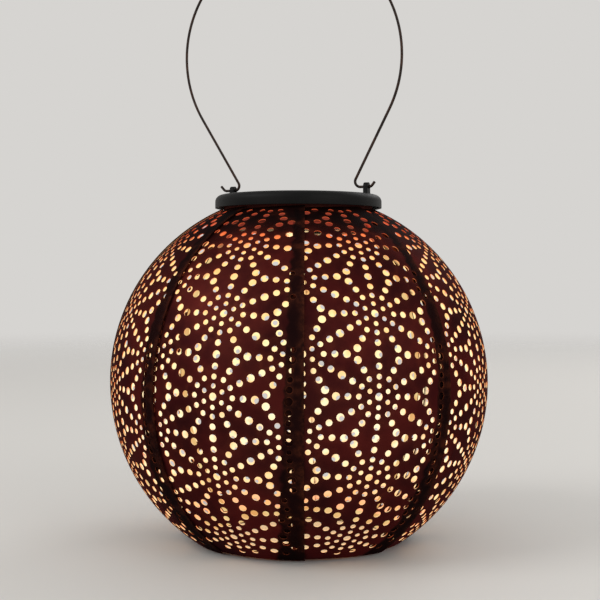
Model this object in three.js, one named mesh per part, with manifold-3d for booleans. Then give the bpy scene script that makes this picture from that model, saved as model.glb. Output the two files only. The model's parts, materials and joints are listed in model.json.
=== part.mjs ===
// A hanging solar lantern: a perforated copper globe of eight lapped gore panels on a rib frame,
// with a light unit that lifts out of the collar at its top, and a wire bail that swings in two ears.
// Millimetres, +Z up. The origin is the centre of the base ring, on the surface the lantern stands on.
// The bail's hinge axis runs along X, over the middle of two opposite panels.

import * as THREE from 'three';
import { mergeVertices } from 'three/addons/utils/BufferGeometryUtils.js';
import Module from 'manifold-3d';

const wasm = await Module();
wasm.setup();

// Globe
const globeRadius = 127;         // outside of the panels
const globeHeight = 105.5;       // centre of the globe above the base
const panelCount = 8;
const sheet = 0.5;               // thickness of the panels
const seamDrop = 1.8;            // how much deeper a panel's left edge lies than its right edge
const lapTop = 1.5;              // how far a panel reaches under its left neighbour, at the top
const lapBottom = 12;            // and at the bottom
const layerGap = 0.5;            // between the panels and the frame inside them
const fit = 0.3;                 // clearance between pieces that touch
const topClear = 0.7;            // between the panels' top edge and the collar

// Frame
const ribWidth = 5;
const ribThickness = 1;
const ringHeight = 6;            // base ring, measured upwards
const ringLip = 5.5;             // its flat foot, measured inwards
const ringThickness = 1;
const collarWall = 1.5;          // the sleeve that takes the light unit
const collarHeight = 12;
const collarAbove = 5;           // how far the sleeve stands above its welding lip
const collarLip = 2.8;           // welding lip under the panels' top edge

// Star lattice: dotted stars on a hexagonal lattice, drawn flat and pressed onto the sphere
const starPitch = 49.8;          // between the stars of one column
const starStretch = 1.067;       // columns stand a little further apart than in a regular lattice
const starTurn = -2.4;           // degrees, the whole pattern is turned on each panel
const starRise = 1.3;            // the middle star lies this far above the equator
const starHole = 4.7;            // diameter of the hole at the middle of a star
const linkHole = 4.8;            // diameter of the hole halfway between two neighbouring stars
const pressBlend = 0.36;         // 0 keeps lengths across the panel, 1 keeps lengths along parallels
const holeSides = 5;
const holeMargin = 1.6;          // least width of metal beside a hole
const hemTop = 2.5;              // plain metal along the top edge
const hemBottom = 4;             // and along the bottom edge

// Light unit: a cup round the battery and the cell, the collar round the cup, the cap over the collar
const capWall = 2;
const capRound = 4.5;            // radius of the cap's top edge
const capGap = 1.8;              // between the cap's rim and the panels
const capRoom = 2.3;             // between the cup's flange and the cap's ceiling
const skirtRoom = 4.3;           // between the collar's sleeve and the cap's rim
const cupWall = 2;
const cupRoom = 2.4;             // between the cup's wall and what it holds
const cupClear = 2.7;            // between the cup and the collar's bore, bridged by the guide ribs
const batteryRoom = 2.4;         // between the battery and the cell's tray above it
const guideRibs = 6;
const guideWidth = 3;
const flangeRoom = 2;            // between the cup's flange and the inside of the cap's rim
const screwCount = 3;
const bossGap = 0.5;             // between the screw bosses and the cup's wall
const screwShank = 1.2;          // radius
const screwHead = 2.6;           // radius
const screwHeadHeight = 1.6;
const screwTipGap = 3;           // the screws end this far below the cap's ceiling
const bossWall = 1.5;
const cellSize = 54.4;
const cellThickness = 1.4;
const coverThickness = 1.2;
const coverSunk = 0.2;           // the clear cover lies this far below the cap's top
const wellWall = 1.5;
const leadHole = 2.5;            // radius of the hole for the cell's leads

// Inside the light unit
const batteryRadius = 7.1;
const batteryLength = 48.8;
const batteryNub = 1.4;
const nubRadius = 2.7;
const batteryOffset = 20;        // of its axis, from the middle
const springLength = 4.2;
const springTurns = 3.5;
const springWide = 4;            // radius of the coil at its plate
const springNarrow = 2.6;        // and at the battery
const springWire = 0.35;         // radius
const contactThickness = 0.6;
const contactWidth = 11;
const contactHeight = 11;
const holderWall = 1.5;
const doorClear = 1.1;           // the battery's opening is this much wider than the battery, each side
const doorLip = 1.8;
const doorThickness = 1.2;
const doorNotch = 3;             // radius of the fingernail notch in the door's edge
const doorNotchDepth = 0.8;
const boardWidth = 36;
const boardDepth = 34;
const boardThickness = 1.6;
const boardHeight = 5;           // its underside above the cup's floor
const postOffset = 14;           // the board's two screw posts, from the middle
const postBack = -12;
const postRadius = 2.5;
const boardScrew = 0.9;          // radius
const boardScrewHead = 1.7;      // radius
const boardScrewHeadHeight = 1.2;
const coilRadius = 3;            // boost coil on the board
const coilHeight = 3.7;
const coilSpot = [-8, -24];
const chipSize = [6, 4, 1.5];
const chipSpot = [6, -25];
const ledRadius = 2.5;
const ledFlange = 0.4;           // the lamp's foot is this much wider
const ledLength = 8.6;
const lensRadius = 8.5;
const lensDepth = 7;
const lensWall = 1.2;
const knobLength = 4;
const knobWidth = 2.6;
const knobProud = 1.5;           // how far the knob stands out of the underside
const grooveRadius = 0.5;        // three grip grooves across the knob
const groovePitch = 1.2;
const switchTravel = 4;
const switchBack = -24;
const switchLength = 12;
const switchWidth = 6;
const leadRadius = 0.6;

// Ears and bail
const earOffset = 48.9;          // middle of each ear from the lantern's axis
const earThickness = 3;
const earRadius = 2.9;
const earRise = 4.6;             // hinge axis above the cap's top
const earBore = 1.3;             // radius
const wireRadius = 0.9;
const bailRadius = 79;           // of the big loop
const bailCentre = 89.5;         // centre of the loop above the hinge axis
const bailWaist = 42.6;          // half the least distance between the two legs
const waistBend = 3.5;           // bend radius from the leg into the ear
const tipBend = 2.8;             // bend radius of the tip outside the ear
const tipAngle = 50;             // degrees that the tip is turned up
const tipLength = 3;             // straight end of the tip
const bailLean = -0.049;         // the loop leans to the left, by this much for each unit of height
const bailShift = -1.6;          // and sits a little to the left in its ears

// Levels worked out from the sizes above
const rad = THREE.MathUtils.degToRad;
const panelInside = globeRadius - seamDrop - sheet;
const frameRadius = panelInside - layerGap;
const latBottom = -Math.asin((globeHeight - fit) / globeRadius);
const holderHalf = (batteryLength + batteryNub + springLength + 2 * contactThickness + 4 * fit) / 2;
const batteryLeft = -holderHalf + contactThickness + springLength + 2 * fit;
const batteryRight = batteryLeft + batteryLength;
const openingLength = 2 * (holderHalf - fit);
const openingWidth = 2 * (batteryRadius + doorClear);
const wellHalf = cellSize / 2 + fit;
const trayHalf = wellHalf + wellWall;
const holderReach = Math.hypot(holderHalf + holderWall, batteryOffset + openingWidth / 2);
const cupInner = Math.max(holderReach, Math.hypot(trayHalf, trayHalf)) + cupRoom;
const cupOuter = cupInner + cupWall;
const collarBore = cupOuter + cupClear;
const sleeveOuter = collarBore + collarWall;
const lipEdge = sleeveOuter + collarLip;
const lipHeight = globeHeight + Math.sqrt(frameRadius ** 2 - sleeveOuter ** 2);
const latTop = Math.acos((sleeveOuter + topClear) / panelInside);
const collarTop = lipHeight + collarAbove;
const flangeBottom = collarTop + fit;
const flangeTop = flangeBottom + cupWall;
const rimInner = sleeveOuter + skirtRoom;
const flangeRadius = rimInner - flangeRoom;
const capRadius = rimInner + capWall;
const capBottom = globeHeight + Math.sqrt(globeRadius ** 2 - rimInner ** 2) + capGap;
const capCeiling = flangeTop + capRoom;
const capTop = capCeiling + capWall;
const hingeHeight = capTop + earRise;
const coverTop = capTop - coverSunk;
const cellTop = coverTop - coverThickness - fit;
const cellBottom = cellTop - cellThickness;
const wellFloor = cellBottom - fit;
const trayBottom = wellFloor - wellWall;
const cupFloor = trayBottom - batteryRoom - 2 * batteryRadius - fit;
const cupBottom = cupFloor - cupWall;
const batteryHeight = cupFloor + fit + batteryRadius;
const bossRadius = screwShank + fit + bossWall;
const screwCircle = cupInner - bossGap - bossRadius;
const boardBottom = cupFloor + boardHeight;
const boardTop = boardBottom + boardThickness;
const boardFront = ledRadius + 0.5;

// The places of the housing screws and of the board's screws, as [x, y]
const screwSpots = Array.from({ length: screwCount }, (_, i) => {
  const a = Math.PI / 2 + i * 2 * Math.PI / screwCount;
  return [screwCircle * Math.cos(a), screwCircle * Math.sin(a)];
});
const postSpots = [[-postOffset, postBack], [postOffset, postBack]];

const lantern = new THREE.Group();

function addPiece(name, geometry, colour, roughness, metalness) {
  const material = new THREE.MeshStandardMaterial({ color: colour, roughness, metalness });
  const mesh = new THREE.Mesh(geometry, material);
  mesh.name = name;
  lantern.add(mesh);
  return mesh;
}

const copper = [0x9a4a2c, 0.42, 0.9];
const blackPlastic = [0x17171a, 0.5, 0];
const darkSteel = [0x3b3431, 0.45, 0.8];
const brightSteel = [0xb8b8b4, 0.35, 0.9];

// A geometry as a closed solid, for joins and cuts
function solid(geometry) {
  const plain = geometry.clone();
  plain.deleteAttribute('normal');
  plain.deleteAttribute('uv');
  const merged = mergeVertices(plain, 1e-4);
  const vertProperties = new Float32Array(merged.attributes.position.array);
  const triVerts = new Uint32Array(merged.index.array);
  return new wasm.Manifold(new wasm.Mesh({ numProp: 3, vertProperties, triVerts }));
}

function geometryOf(body) {
  const mesh = body.getMesh();
  const geometry = new THREE.BufferGeometry();
  geometry.setAttribute('position', new THREE.BufferAttribute(mesh.vertProperties, 3));
  geometry.setIndex(new THREE.BufferAttribute(mesh.triVerts, 1));
  return geometry;
}

function closedMesh(points, triangles) {
  const geometry = new THREE.BufferGeometry();
  geometry.setAttribute('position', new THREE.Float32BufferAttribute(points.flat(), 3));
  geometry.setIndex(triangles.flat());
  return geometry;
}

function box(x0, x1, y0, y1, z0, z1) {
  const geometry = new THREE.BoxGeometry(x1 - x0, y1 - y0, z1 - z0);
  geometry.translate((x0 + x1) / 2, (y0 + y1) / 2, (z0 + z1) / 2);
  return geometry;
}

function cylinder(radius, z0, z1, sides, x = 0, y = 0) {
  const geometry = new THREE.CylinderGeometry(radius, radius, z1 - z0, sides);
  geometry.rotateX(Math.PI / 2);
  geometry.translate(x, y, (z0 + z1) / 2);
  return geometry;
}

// A cylinder along X
function rod(radius, x0, x1, sides, y, z) {
  const geometry = new THREE.CylinderGeometry(radius, radius, x1 - x0, sides);
  geometry.rotateZ(Math.PI / 2);
  geometry.translate((x0 + x1) / 2, y, z);
  return geometry;
}

// A profile of [radius, height] points turned about Z
function turned(profile, segments) {
  const points = profile.map(([r, z]) => new THREE.Vector2(r, z));
  const geometry = new THREE.LatheGeometry(points, segments);
  geometry.rotateX(Math.PI / 2);
  return geometry;
}

// A wire of the given radius along a curve
function wire(curve, radius, sides, steps) {
  const section = new THREE.Shape();
  for (let i = 0; i < sides; i += 1) {
    const a = (i + 0.5) * 2 * Math.PI / sides;
    const x = radius * Math.cos(a);
    const y = radius * Math.sin(a);
    if (i === 0) section.moveTo(x, y);
    else section.lineTo(x, y);
  }
  section.closePath();
  return new THREE.ExtrudeGeometry(section, { steps, extrudePath: curve, curveSegments: 1 });
}

// Shade panels

// A point of the flat pattern, in millimetres, as longitude and latitude on the globe
function pressed(x, y) {
  const u = x / globeRadius;
  const v = y / globeRadius;
  const bentLat = Math.asin(Math.sin(v) * Math.cos(u));
  const bentLon = Math.atan2(Math.sin(u), Math.cos(u) * Math.cos(v));
  const lat = (1 - pressBlend) * bentLat + pressBlend * v;
  const lon = (1 - pressBlend) * bentLon + pressBlend * u / Math.cos(v);
  return { lat, lon };
}

// Longitudes of a panel's two edges, from its centre line
function leftEdge(lat) {
  const share = (latTop - lat) / (latTop - latBottom);
  const lap = lapTop + (lapBottom - lapTop) * share + ribWidth / 2;
  return -Math.PI / panelCount - lap / (globeRadius * Math.cos(lat));
}

function rightEdge(lat) {
  return Math.PI / panelCount + ribWidth / 2 / (globeRadius * Math.cos(lat));
}

// Places on a panel are worked out on a sheet where x runs along the parallel and y along the meridian
const toSheet = (lon, lat) => new THREE.Vector2(lon * globeRadius * Math.cos(lat), lat * globeRadius);

// The outline of a panel
function panelOutline() {
  const sideSteps = 18;
  const bottomSteps = 6;
  const topSteps = 5;
  const points = [];
  for (let i = 0; i < bottomSteps; i += 1) {
    const lon = THREE.MathUtils.lerp(leftEdge(latBottom), rightEdge(latBottom), i / bottomSteps);
    points.push(toSheet(lon, latBottom));
  }
  for (let i = 0; i < sideSteps; i += 1) {
    const lat = THREE.MathUtils.lerp(latBottom, latTop, i / sideSteps);
    points.push(toSheet(rightEdge(lat), lat));
  }
  for (let i = 0; i < topSteps; i += 1) {
    const lon = THREE.MathUtils.lerp(rightEdge(latTop), leftEdge(latTop), i / topSteps);
    points.push(toSheet(lon, latTop));
  }
  for (let i = 0; i < sideSteps; i += 1) {
    const lat = THREE.MathUtils.lerp(latTop, latBottom, i / sideSteps);
    points.push(toSheet(leftEdge(lat), lat));
  }
  return points;
}

// Whether a hole of this radius leaves enough metal all round it
function fitsOnPanel(lon, lat, radius) {
  const across = globeRadius * Math.cos(lat);
  const side = radius + holeMargin;
  if (globeRadius * (latTop - lat) < radius + hemTop) return false;
  if (globeRadius * (lat - latBottom) < radius + hemBottom) return false;
  return (lon - leftEdge(lat)) * across > side && (rightEdge(lat) - lon) * across > side;
}

// Whether a hole lies wholly under the left neighbour, where it would light nothing
function hiddenByLap(lon, lat, radius) {
  const across = globeRadius * Math.cos(lat);
  return lon + radius / across < rightEdge(lat) - 2 * Math.PI / panelCount;
}

// The grid of stars, wide and tall enough to cover a panel
function starGrid() {
  const columnPitch = starPitch * starStretch * Math.sqrt(3) / 2;
  const columns = Math.ceil(Math.PI * globeRadius / panelCount / columnPitch) + 1;
  const rows = Math.ceil(Math.PI / 2 * globeRadius / starPitch) + 1;
  return { columnPitch, columns, rows };
}

// Where a point of the pattern lands on the globe, or nothing if it would pass the pole
function placed(x, y) {
  const turn = rad(starTurn);
  const px = x * Math.cos(turn) - y * Math.sin(turn);
  const py = x * Math.sin(turn) + y * Math.cos(turn) + starRise;
  const reach = 0.45 * Math.PI * globeRadius;
  return Math.abs(py) > reach ? null : pressed(px, py);
}

// Middles of the holes: one at each star and one halfway to each neighbouring star. Under the lap the
// sheet is left whole, and only bends there.
function starHoles() {
  const { columnPitch, columns, rows } = starGrid();
  const holes = [];
  const bends = [];
  const addHole = (x, y, diameter) => {
    const spot = placed(x, y);
    if (!spot || !fitsOnPanel(spot.lon, spot.lat, diameter / 2)) return;
    if (hiddenByLap(spot.lon, spot.lat, diameter / 2)) bends.push(toSheet(spot.lon, spot.lat));
    else holes.push({ ...spot, radius: diameter / 2 });
  };
  for (let column = -columns; column <= columns; column += 1) {
    for (let row = -rows; row <= rows; row += 1) {
      const x = column * columnPitch;
      const y = (row + (column % 2 === 0 ? 0 : 0.5)) * starPitch;
      addHole(x, y, starHole);
      addHole(x, y + starPitch / 2, linkHole);
      addHole(x + columnPitch / 2, y + starPitch / 4, linkHole);
      addHole(x + columnPitch / 2, y - starPitch / 4, linkHole);
    }
  }
  return { holes, bends };
}

// The rim of a hole, a circle on the globe
function holeRim({ lon, lat, radius }) {
  const rim = [];
  for (let i = 0; i < holeSides; i += 1) {
    const a = i * 2 * Math.PI / holeSides;
    const rimLat = lat + radius * Math.sin(a) / globeRadius;
    const rimLon = lon + radius * Math.cos(a) / (globeRadius * Math.cos(lat));
    rim.push(toSheet(rimLon, rimLat));
  }
  return rim;
}

// Middles of the plain patches between three stars, where the sheet gets a point to bend over
function plainPatches() {
  const { columnPitch, columns, rows } = starGrid();
  const patches = [];
  for (let column = -columns; column <= columns; column += 1) {
    for (let row = -rows; row <= rows; row += 1) {
      const y = (row + (column % 2 === 0 ? 0 : 0.5)) * starPitch;
      for (const side of [-1, 1]) {
        const spot = placed((column + side * 2 / 3) * columnPitch, y);
        if (spot && fitsOnPanel(spot.lon, spot.lat, 0)) patches.push(toSheet(spot.lon, spot.lat));
      }
    }
  }
  return patches;
}

const turnOf = (a, b, c) => (b.x - a.x) * (c.y - a.y) - (b.y - a.y) * (c.x - a.x);

// Whether d lies inside the circle through a, b and c, which turn left
function insideCircle(a, b, c, d) {
  const rows = [a, b, c].map((p) => [p.x - d.x, p.y - d.y, (p.x - d.x) ** 2 + (p.y - d.y) ** 2]);
  const [p, q, r] = rows;
  const det = p[0] * (q[1] * r[2] - q[2] * r[1]) - p[1] * (q[0] * r[2] - q[2] * r[0])
    + p[2] * (q[0] * r[1] - q[1] * r[0]);
  return det > 1e-6;
}

// Flips edges until the triangles are as even as they can be, so that they follow the globe
function evenTriangles(points, triangles) {
  const maxPasses = 60;
  for (let pass = 0; pass < maxPasses; pass += 1) {
    const owner = new Map();
    triangles.forEach((t, index) => {
      for (let k = 0; k < 3; k += 1) owner.set(`${t[k]},${t[(k + 1) % 3]}`, [index, t[(k + 2) % 3]]);
    });
    const touched = new Set();
    let flips = 0;
    for (const [key, [index, apex]] of owner) {
      const [from, to] = key.split(',').map(Number);
      const other = owner.get(`${to},${from}`);
      if (!other || touched.has(index) || touched.has(other[0])) continue;
      const far = other[1];
      const corners = [from, to, apex, far].map((i) => points[i]);
      const [a, b, c, d] = corners;
      if (turnOf(d, b, c) <= 1e-9 || turnOf(a, d, c) <= 1e-9) continue;
      if (!insideCircle(a, b, c, d)) continue;
      triangles[index] = [far, to, apex];
      triangles[other[0]] = [from, far, apex];
      touched.add(index);
      touched.add(other[0]);
      flips += 1;
    }
    if (flips === 0) break;
  }
  return triangles;
}

// Splits the triangle round each extra point into three
function addPoints(points, triangles, extra) {
  for (const p of extra) {
    const leftOf = (i, j) => turnOf(points[i], points[j], p) > 1e-3;
    const index = triangles.findIndex(([a, b, c]) => leftOf(a, b) && leftOf(b, c) && leftOf(c, a));
    if (index < 0) continue;
    const [a, b, c] = triangles[index];
    const k = points.length;
    points.push(p);
    triangles[index] = [a, b, k];
    triangles.push([b, c, k], [c, a, k]);
  }
}

// One panel as a closed shell, with its centre line at longitude 0
function panelGeometry() {
  const outline = panelOutline();
  const { holes, bends } = starHoles();
  const rims = holes.map(holeRim);
  const flat = outline.concat(...rims);
  const turnLeft = ([a, b, c]) => (turnOf(flat[a], flat[b], flat[c]) > 0 ? [a, b, c] : [a, c, b]);
  const cutOut = THREE.ShapeUtils.triangulateShape(outline, rims).map(turnLeft);
  addPoints(flat, cutOut, [...plainPatches(), ...bends]);
  const triangles = evenTriangles(flat, cutOut);
  const place = (p, depth) => {
    const lat = p.y / globeRadius;
    const lon = p.x / (globeRadius * Math.cos(lat));
    const share = (lon - leftEdge(lat)) / (rightEdge(lat) - leftEdge(lat));
    const r = globeRadius - seamDrop * (1 - share) - depth;
    const out = r * Math.cos(lat);
    return [out * Math.cos(lon), out * Math.sin(lon), globeHeight + r * Math.sin(lat)];
  };
  const count = flat.length;
  const points = flat.map((p) => place(p, 0)).concat(flat.map((p) => place(p, sheet)));
  const faces = [];
  const edges = new Set();
  for (const [a, b, c] of triangles) {
    faces.push([a, b, c], [a + count, c + count, b + count]);
    for (const [from, to] of [[a, b], [b, c], [c, a]]) edges.add(`${from},${to}`);
  }
  for (const key of edges) {
    const [from, to] = key.split(',').map(Number);
    if (edges.has(`${to},${from}`)) continue;
    faces.push([to, from, from + count], [to, from + count, to + count]);
  }
  return closedMesh(points, faces);
}

function addPanels() {
  const panel = panelGeometry();
  for (let i = 0; i < panelCount; i += 1) {
    const mesh = addPiece(`shade_panel_${i + 1}`, panel.clone(), ...copper);
    mesh.rotation.z = i * 2 * Math.PI / panelCount;
  }
}

// Frame: ribs behind the seams, base ring and collar

const collarSides = 28;
const ringOuterEdge = Math.sqrt(frameRadius ** 2 - (globeHeight - ringHeight) ** 2);

// One rib, a strip that follows the globe from the base ring to the collar, at longitude 0
function ribGeometry() {
  const steps = 10;
  const low = -Math.asin((globeHeight - ringHeight - fit) / frameRadius);
  const high = Math.acos((lipEdge + fit) / frameRadius);
  const points = [];
  const faces = [];
  for (let i = 0; i <= steps; i += 1) {
    const lat = THREE.MathUtils.lerp(low, high, i / steps);
    for (const r of [frameRadius, frameRadius - ribThickness]) {
      for (const side of [-1, 1]) {
        points.push([r * Math.cos(lat), side * ribWidth / 2, globeHeight + r * Math.sin(lat)]);
      }
    }
  }
  const ring = [0, 1, 3, 2];
  for (let i = 0; i < steps; i += 1) {
    for (let k = 0; k < 4; k += 1) {
      const a = 4 * i + ring[k];
      const b = 4 * i + ring[(k + 1) % 4];
      faces.push([a, b, b + 4], [a, b + 4, a + 4]);
    }
  }
  const [a, b, c, d] = ring.map((k) => k + 4 * steps);
  faces.push([ring[0], ring[2], ring[1]], [ring[0], ring[3], ring[2]], [a, b, c], [a, c, d]);
  return closedMesh(points, faces);
}

function addFrame() {
  const rib = ribGeometry();
  for (let i = 0; i < panelCount; i += 1) {
    const mesh = addPiece(`seam_rib_${i + 1}`, rib.clone(), ...copper);
    mesh.rotation.z = (i + 0.5) * 2 * Math.PI / panelCount;
  }
  const foot = Math.sqrt(frameRadius ** 2 - globeHeight ** 2);
  const innerSphere = frameRadius - ringThickness;
  const ringProfile = [
    [foot - ringLip, 0],
    [foot, 0],
    [ringOuterEdge, ringHeight],
    [Math.sqrt(innerSphere ** 2 - (globeHeight - ringHeight) ** 2), ringHeight],
    [Math.sqrt(innerSphere ** 2 - (globeHeight - ringThickness) ** 2), ringThickness],
    [foot - ringLip, ringThickness],
    [foot - ringLip, 0],
  ];
  addPiece('base_ring', turned(ringProfile, 32), ...copper);
  const lipDrop = lipHeight - (globeHeight + Math.sqrt(frameRadius ** 2 - lipEdge ** 2));
  const collarProfile = [
    [collarBore, collarTop - collarHeight],
    [sleeveOuter, collarTop - collarHeight],
    [sleeveOuter, lipHeight - ribThickness],
    [lipEdge, lipHeight - lipDrop - ribThickness],
    [lipEdge, lipHeight - lipDrop],
    [sleeveOuter, lipHeight],
    [sleeveOuter, collarTop],
    [collarBore, collarTop],
    [collarBore, collarTop - collarHeight],
  ];
  addPiece('top_collar', turned(collarProfile, collarSides), ...copper);
}

// Light unit

function join(geometries) {
  return geometries.map(solid).reduce((whole, piece) => whole.add(piece));
}

function cut(whole, geometries) {
  return geometries.map(solid).reduce((rest, tool) => rest.subtract(tool), whole);
}

function earGeometries(side) {
  const x0 = side * earOffset - earThickness / 2;
  const x1 = side * earOffset + earThickness / 2;
  const stalk = box(x0, x1, -earRadius, earRadius, capTop - capWall / 2, hingeHeight);
  return [stalk, rod(earRadius, x0, x1, 12, 0, hingeHeight)];
}

function addCap() {
  const arcSteps = 3;
  const profile = [
    [0, capCeiling],
    [rimInner, capCeiling],
    [rimInner, capBottom],
    [capRadius, capBottom],
  ];
  profile.push(...arcPoints([capRadius - capRound, capTop - capRound], capRound, 0, Math.PI / 2, arcSteps));
  profile.push([0, capTop]);
  const tray = box(-trayHalf, trayHalf, -trayHalf, trayHalf, trayBottom, capTop - capWall / 2);
  const bossBottom = cupFloor + fit;
  const bossTop = capTop - capWall / 2;
  const bosses = screwSpots.map(([x, y]) => cylinder(bossRadius, bossBottom, bossTop, 8, x, y));
  const body = join([turned(profile, 36), tray, ...bosses, ...earGeometries(-1), ...earGeometries(1)]);
  const well = box(-wellHalf, wellHalf, -wellHalf, wellHalf, wellFloor, capTop + 1);
  const pilotTop = capCeiling - screwTipGap / 2;
  const pilots = screwSpots.map(([x, y]) => cylinder(screwShank + fit, bossBottom - 1, pilotTop, 8, x, y));
  const bores = [-1, 1].map((side) => {
    const middle = side * earOffset;
    return rod(earBore, middle - earThickness, middle + earThickness, 10, 0, hingeHeight);
  });
  const leadPass = cylinder(leadHole, trayBottom - 1, wellFloor + 1, 8, 0, postBack);
  addPiece('cap_housing', geometryOf(cut(body, [well, leadPass, ...pilots, ...bores])), ...blackPlastic);
}

function addLightHousing() {
  const chamfer = 1.5;
  const profile = [
    [0, cupBottom],
    [cupOuter - chamfer, cupBottom],
    [cupOuter, cupBottom + chamfer],
    [cupOuter, flangeBottom],
    [flangeRadius, flangeBottom],
    [flangeRadius, flangeTop],
    [cupInner, flangeTop],
    [cupInner, cupFloor],
    [0, cupFloor],
  ];
  const guides = [];
  const guideOuter = (collarBore - fit) * Math.cos(Math.PI / collarSides);
  for (let i = 0; i < guideRibs; i += 1) {
    const guide = box(cupOuter - cupWall / 2, guideOuter, -guideWidth / 2, guideWidth / 2,
      collarTop - collarHeight, flangeBottom + cupWall / 2);
    guide.rotateZ((i + 0.5) * 2 * Math.PI / guideRibs);
    guides.push(guide);
  }
  const footing = cupFloor - cupWall / 2;
  const front = batteryOffset - openingWidth / 2;
  const back = batteryOffset + openingWidth / 2;
  const holders = [-1, 1].map((side) => {
    const inner = side * holderHalf;
    const outer = side * (holderHalf + holderWall);
    const holderTop = cupFloor + contactHeight;
    return box(Math.min(inner, outer), Math.max(inner, outer), front, back, footing, holderTop);
  });
  const posts = postSpots.map(([x, y]) => cylinder(postRadius, footing, boardBottom - fit, 10, x, y));
  const body = join([turned(profile, 30), ...guides, ...holders, ...posts]);
  const below = cupBottom - 1;
  const above = cupFloor + 0.5;
  const slotHalf = knobLength / 2 + switchTravel / 2 + fit;
  const slotReach = knobWidth / 2 + fit;
  const cuts = [
    box(-openingLength / 2, openingLength / 2, front, back, below, above),
    box(-slotHalf, slotHalf, switchBack - slotReach, switchBack + slotReach, below, above),
    cylinder(ledRadius + 2 * fit, below, above, 12),
    ...screwSpots.map(([x, y]) => cylinder(screwShank + fit, below, above, 8, x, y)),
    ...postSpots.map(([x, y]) => cylinder(boardScrew + fit, cupFloor + 0.5, boardBottom + 1, 8, x, y)),
  ];
  addPiece('light_housing', geometryOf(cut(body, cuts)), ...blackPlastic);
}

// Numbered screws that share one profile
function addScrews(name, spots, profile) {
  spots.forEach(([x, y], i) => {
    addPiece(`${name}_${i + 1}`, turned(profile, 6).translate(x, y, 0), ...brightSteel);
  });
}

// Three screws go up through the cup's floor into the cap's bosses
function addHousingScrews() {
  const headTop = cupBottom - fit;
  const headLow = headTop - screwHeadHeight;
  const tip = capCeiling - screwTipGap;
  addScrews('housing_screw', screwSpots, [
    [0, headLow], [screwHead, headLow], [screwHead, headTop],
    [screwShank, headTop], [screwShank, tip], [0, tip],
  ]);
}

function addSolarCell() {
  const half = cellSize / 2;
  addPiece('solar_cell', box(-half, half, -half, half, cellBottom, cellTop), 0x14203c, 0.25, 0.2);
  const corner = 2;
  const outline = new THREE.Shape();
  outline.moveTo(-half + corner, -half);
  outline.lineTo(half - corner, -half);
  outline.absarc(half - corner, -half + corner, corner, -Math.PI / 2, 0);
  outline.lineTo(half, half - corner);
  outline.absarc(half - corner, half - corner, corner, 0, Math.PI / 2);
  outline.lineTo(-half + corner, half);
  outline.absarc(-half + corner, half - corner, corner, Math.PI / 2, Math.PI);
  outline.lineTo(-half, -half + corner);
  outline.absarc(-half + corner, -half + corner, corner, Math.PI, 3 * Math.PI / 2);
  const extrusion = { depth: coverThickness, bevelEnabled: false, curveSegments: 2 };
  const cover = new THREE.ExtrudeGeometry(outline, extrusion);
  cover.translate(0, 0, coverTop - coverThickness);
  addPiece('cell_cover', cover, 0xdfe8ee, 0.08, 0);
}

function addBattery() {
  const body = rod(batteryRadius, batteryLeft, batteryRight, 12, batteryOffset, batteryHeight);
  const nub = rod(nubRadius, batteryRight - 1, batteryRight + batteryNub, 10, batteryOffset, batteryHeight);
  addPiece('battery', geometryOf(join([body, nub])), 0x3d7a4a, 0.4, 0.1);
}

// The helix of the contact spring, which narrows towards the battery
class SpringCurve extends THREE.Curve {
  getPoint(t, target = new THREE.Vector3()) {
    const a = t * springTurns * 2 * Math.PI;
    const r = THREE.MathUtils.lerp(springWide, springNarrow, t);
    const x = -holderHalf + fit + contactThickness - springWire / 2 + t * (springLength - springWire / 2);
    return target.set(x, batteryOffset + r * Math.cos(a), batteryHeight + r * Math.sin(a));
  }
}

function addContacts() {
  const low = cupFloor + fit;
  const high = low + contactHeight;
  const y0 = batteryOffset - contactWidth / 2;
  const y1 = batteryOffset + contactWidth / 2;
  const right = holderHalf - fit;
  addPiece('contact_plate', box(right - contactThickness, right, y0, y1, low, high), ...brightSteel);
  const left = -holderHalf + fit;
  const plate = box(left, left + contactThickness, y0, y1, low, high);
  const coil = wire(new SpringCurve(), springWire, 4, Math.round(springTurns * 6));
  addPiece('contact_spring', geometryOf(join([plate, coil])), ...brightSteel);
}

function addBatteryDoor() {
  const plugX = openingLength / 2 - fit;
  const plugY = openingWidth / 2 - fit;
  const lipX = openingLength / 2 + doorLip;
  const lipY = openingWidth / 2 + doorLip;
  const lipTop = cupBottom - fit;
  const y = batteryOffset;
  const plate = box(-lipX, lipX, y - lipY, y + lipY, lipTop - doorThickness, lipTop);
  const plug = box(-plugX, plugX, y - plugY, y + plugY, lipTop - doorThickness / 2, cupFloor);
  const notchHeight = lipTop - doorThickness + doorNotchDepth - doorNotch;
  const notch = rod(doorNotch, -2 * doorNotch, 2 * doorNotch, 12, y - lipY, notchHeight);
  addPiece('battery_door', geometryOf(cut(join([plate, plug]), [notch])), ...blackPlastic);
}

function addBoard() {
  const half = boardWidth / 2;
  const back = boardFront - boardDepth;
  const plate = solid(box(-half, half, back, boardFront, boardBottom, boardTop));
  const hole = boardScrew + fit;
  const holes = postSpots.map(([x, y]) => cylinder(hole, boardBottom - 1, boardTop + 1, 8, x, y));
  addPiece('circuit_board', geometryOf(cut(plate, holes)), 0x1f5a36, 0.45, 0);
  const onBoard = boardTop + fit;
  const coil = cylinder(coilRadius, onBoard, onBoard + coilHeight, 12, ...coilSpot);
  addPiece('boost_coil', coil, 0x2b2b2b, 0.4, 0.1);
  const chip = new THREE.BoxGeometry(...chipSize).translate(...chipSpot, onBoard + chipSize[2] / 2);
  addPiece('control_chip', chip, 0x1a1a1c, 0.5, 0);
  const tip = cupFloor + 1;
  const headHigh = onBoard + boardScrewHeadHeight;
  addScrews('board_screw', postSpots, [
    [0, tip], [boardScrew, tip], [boardScrew, onBoard],
    [boardScrewHead, onBoard], [boardScrewHead, headHigh], [0, headHigh],
  ]);
}

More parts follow.
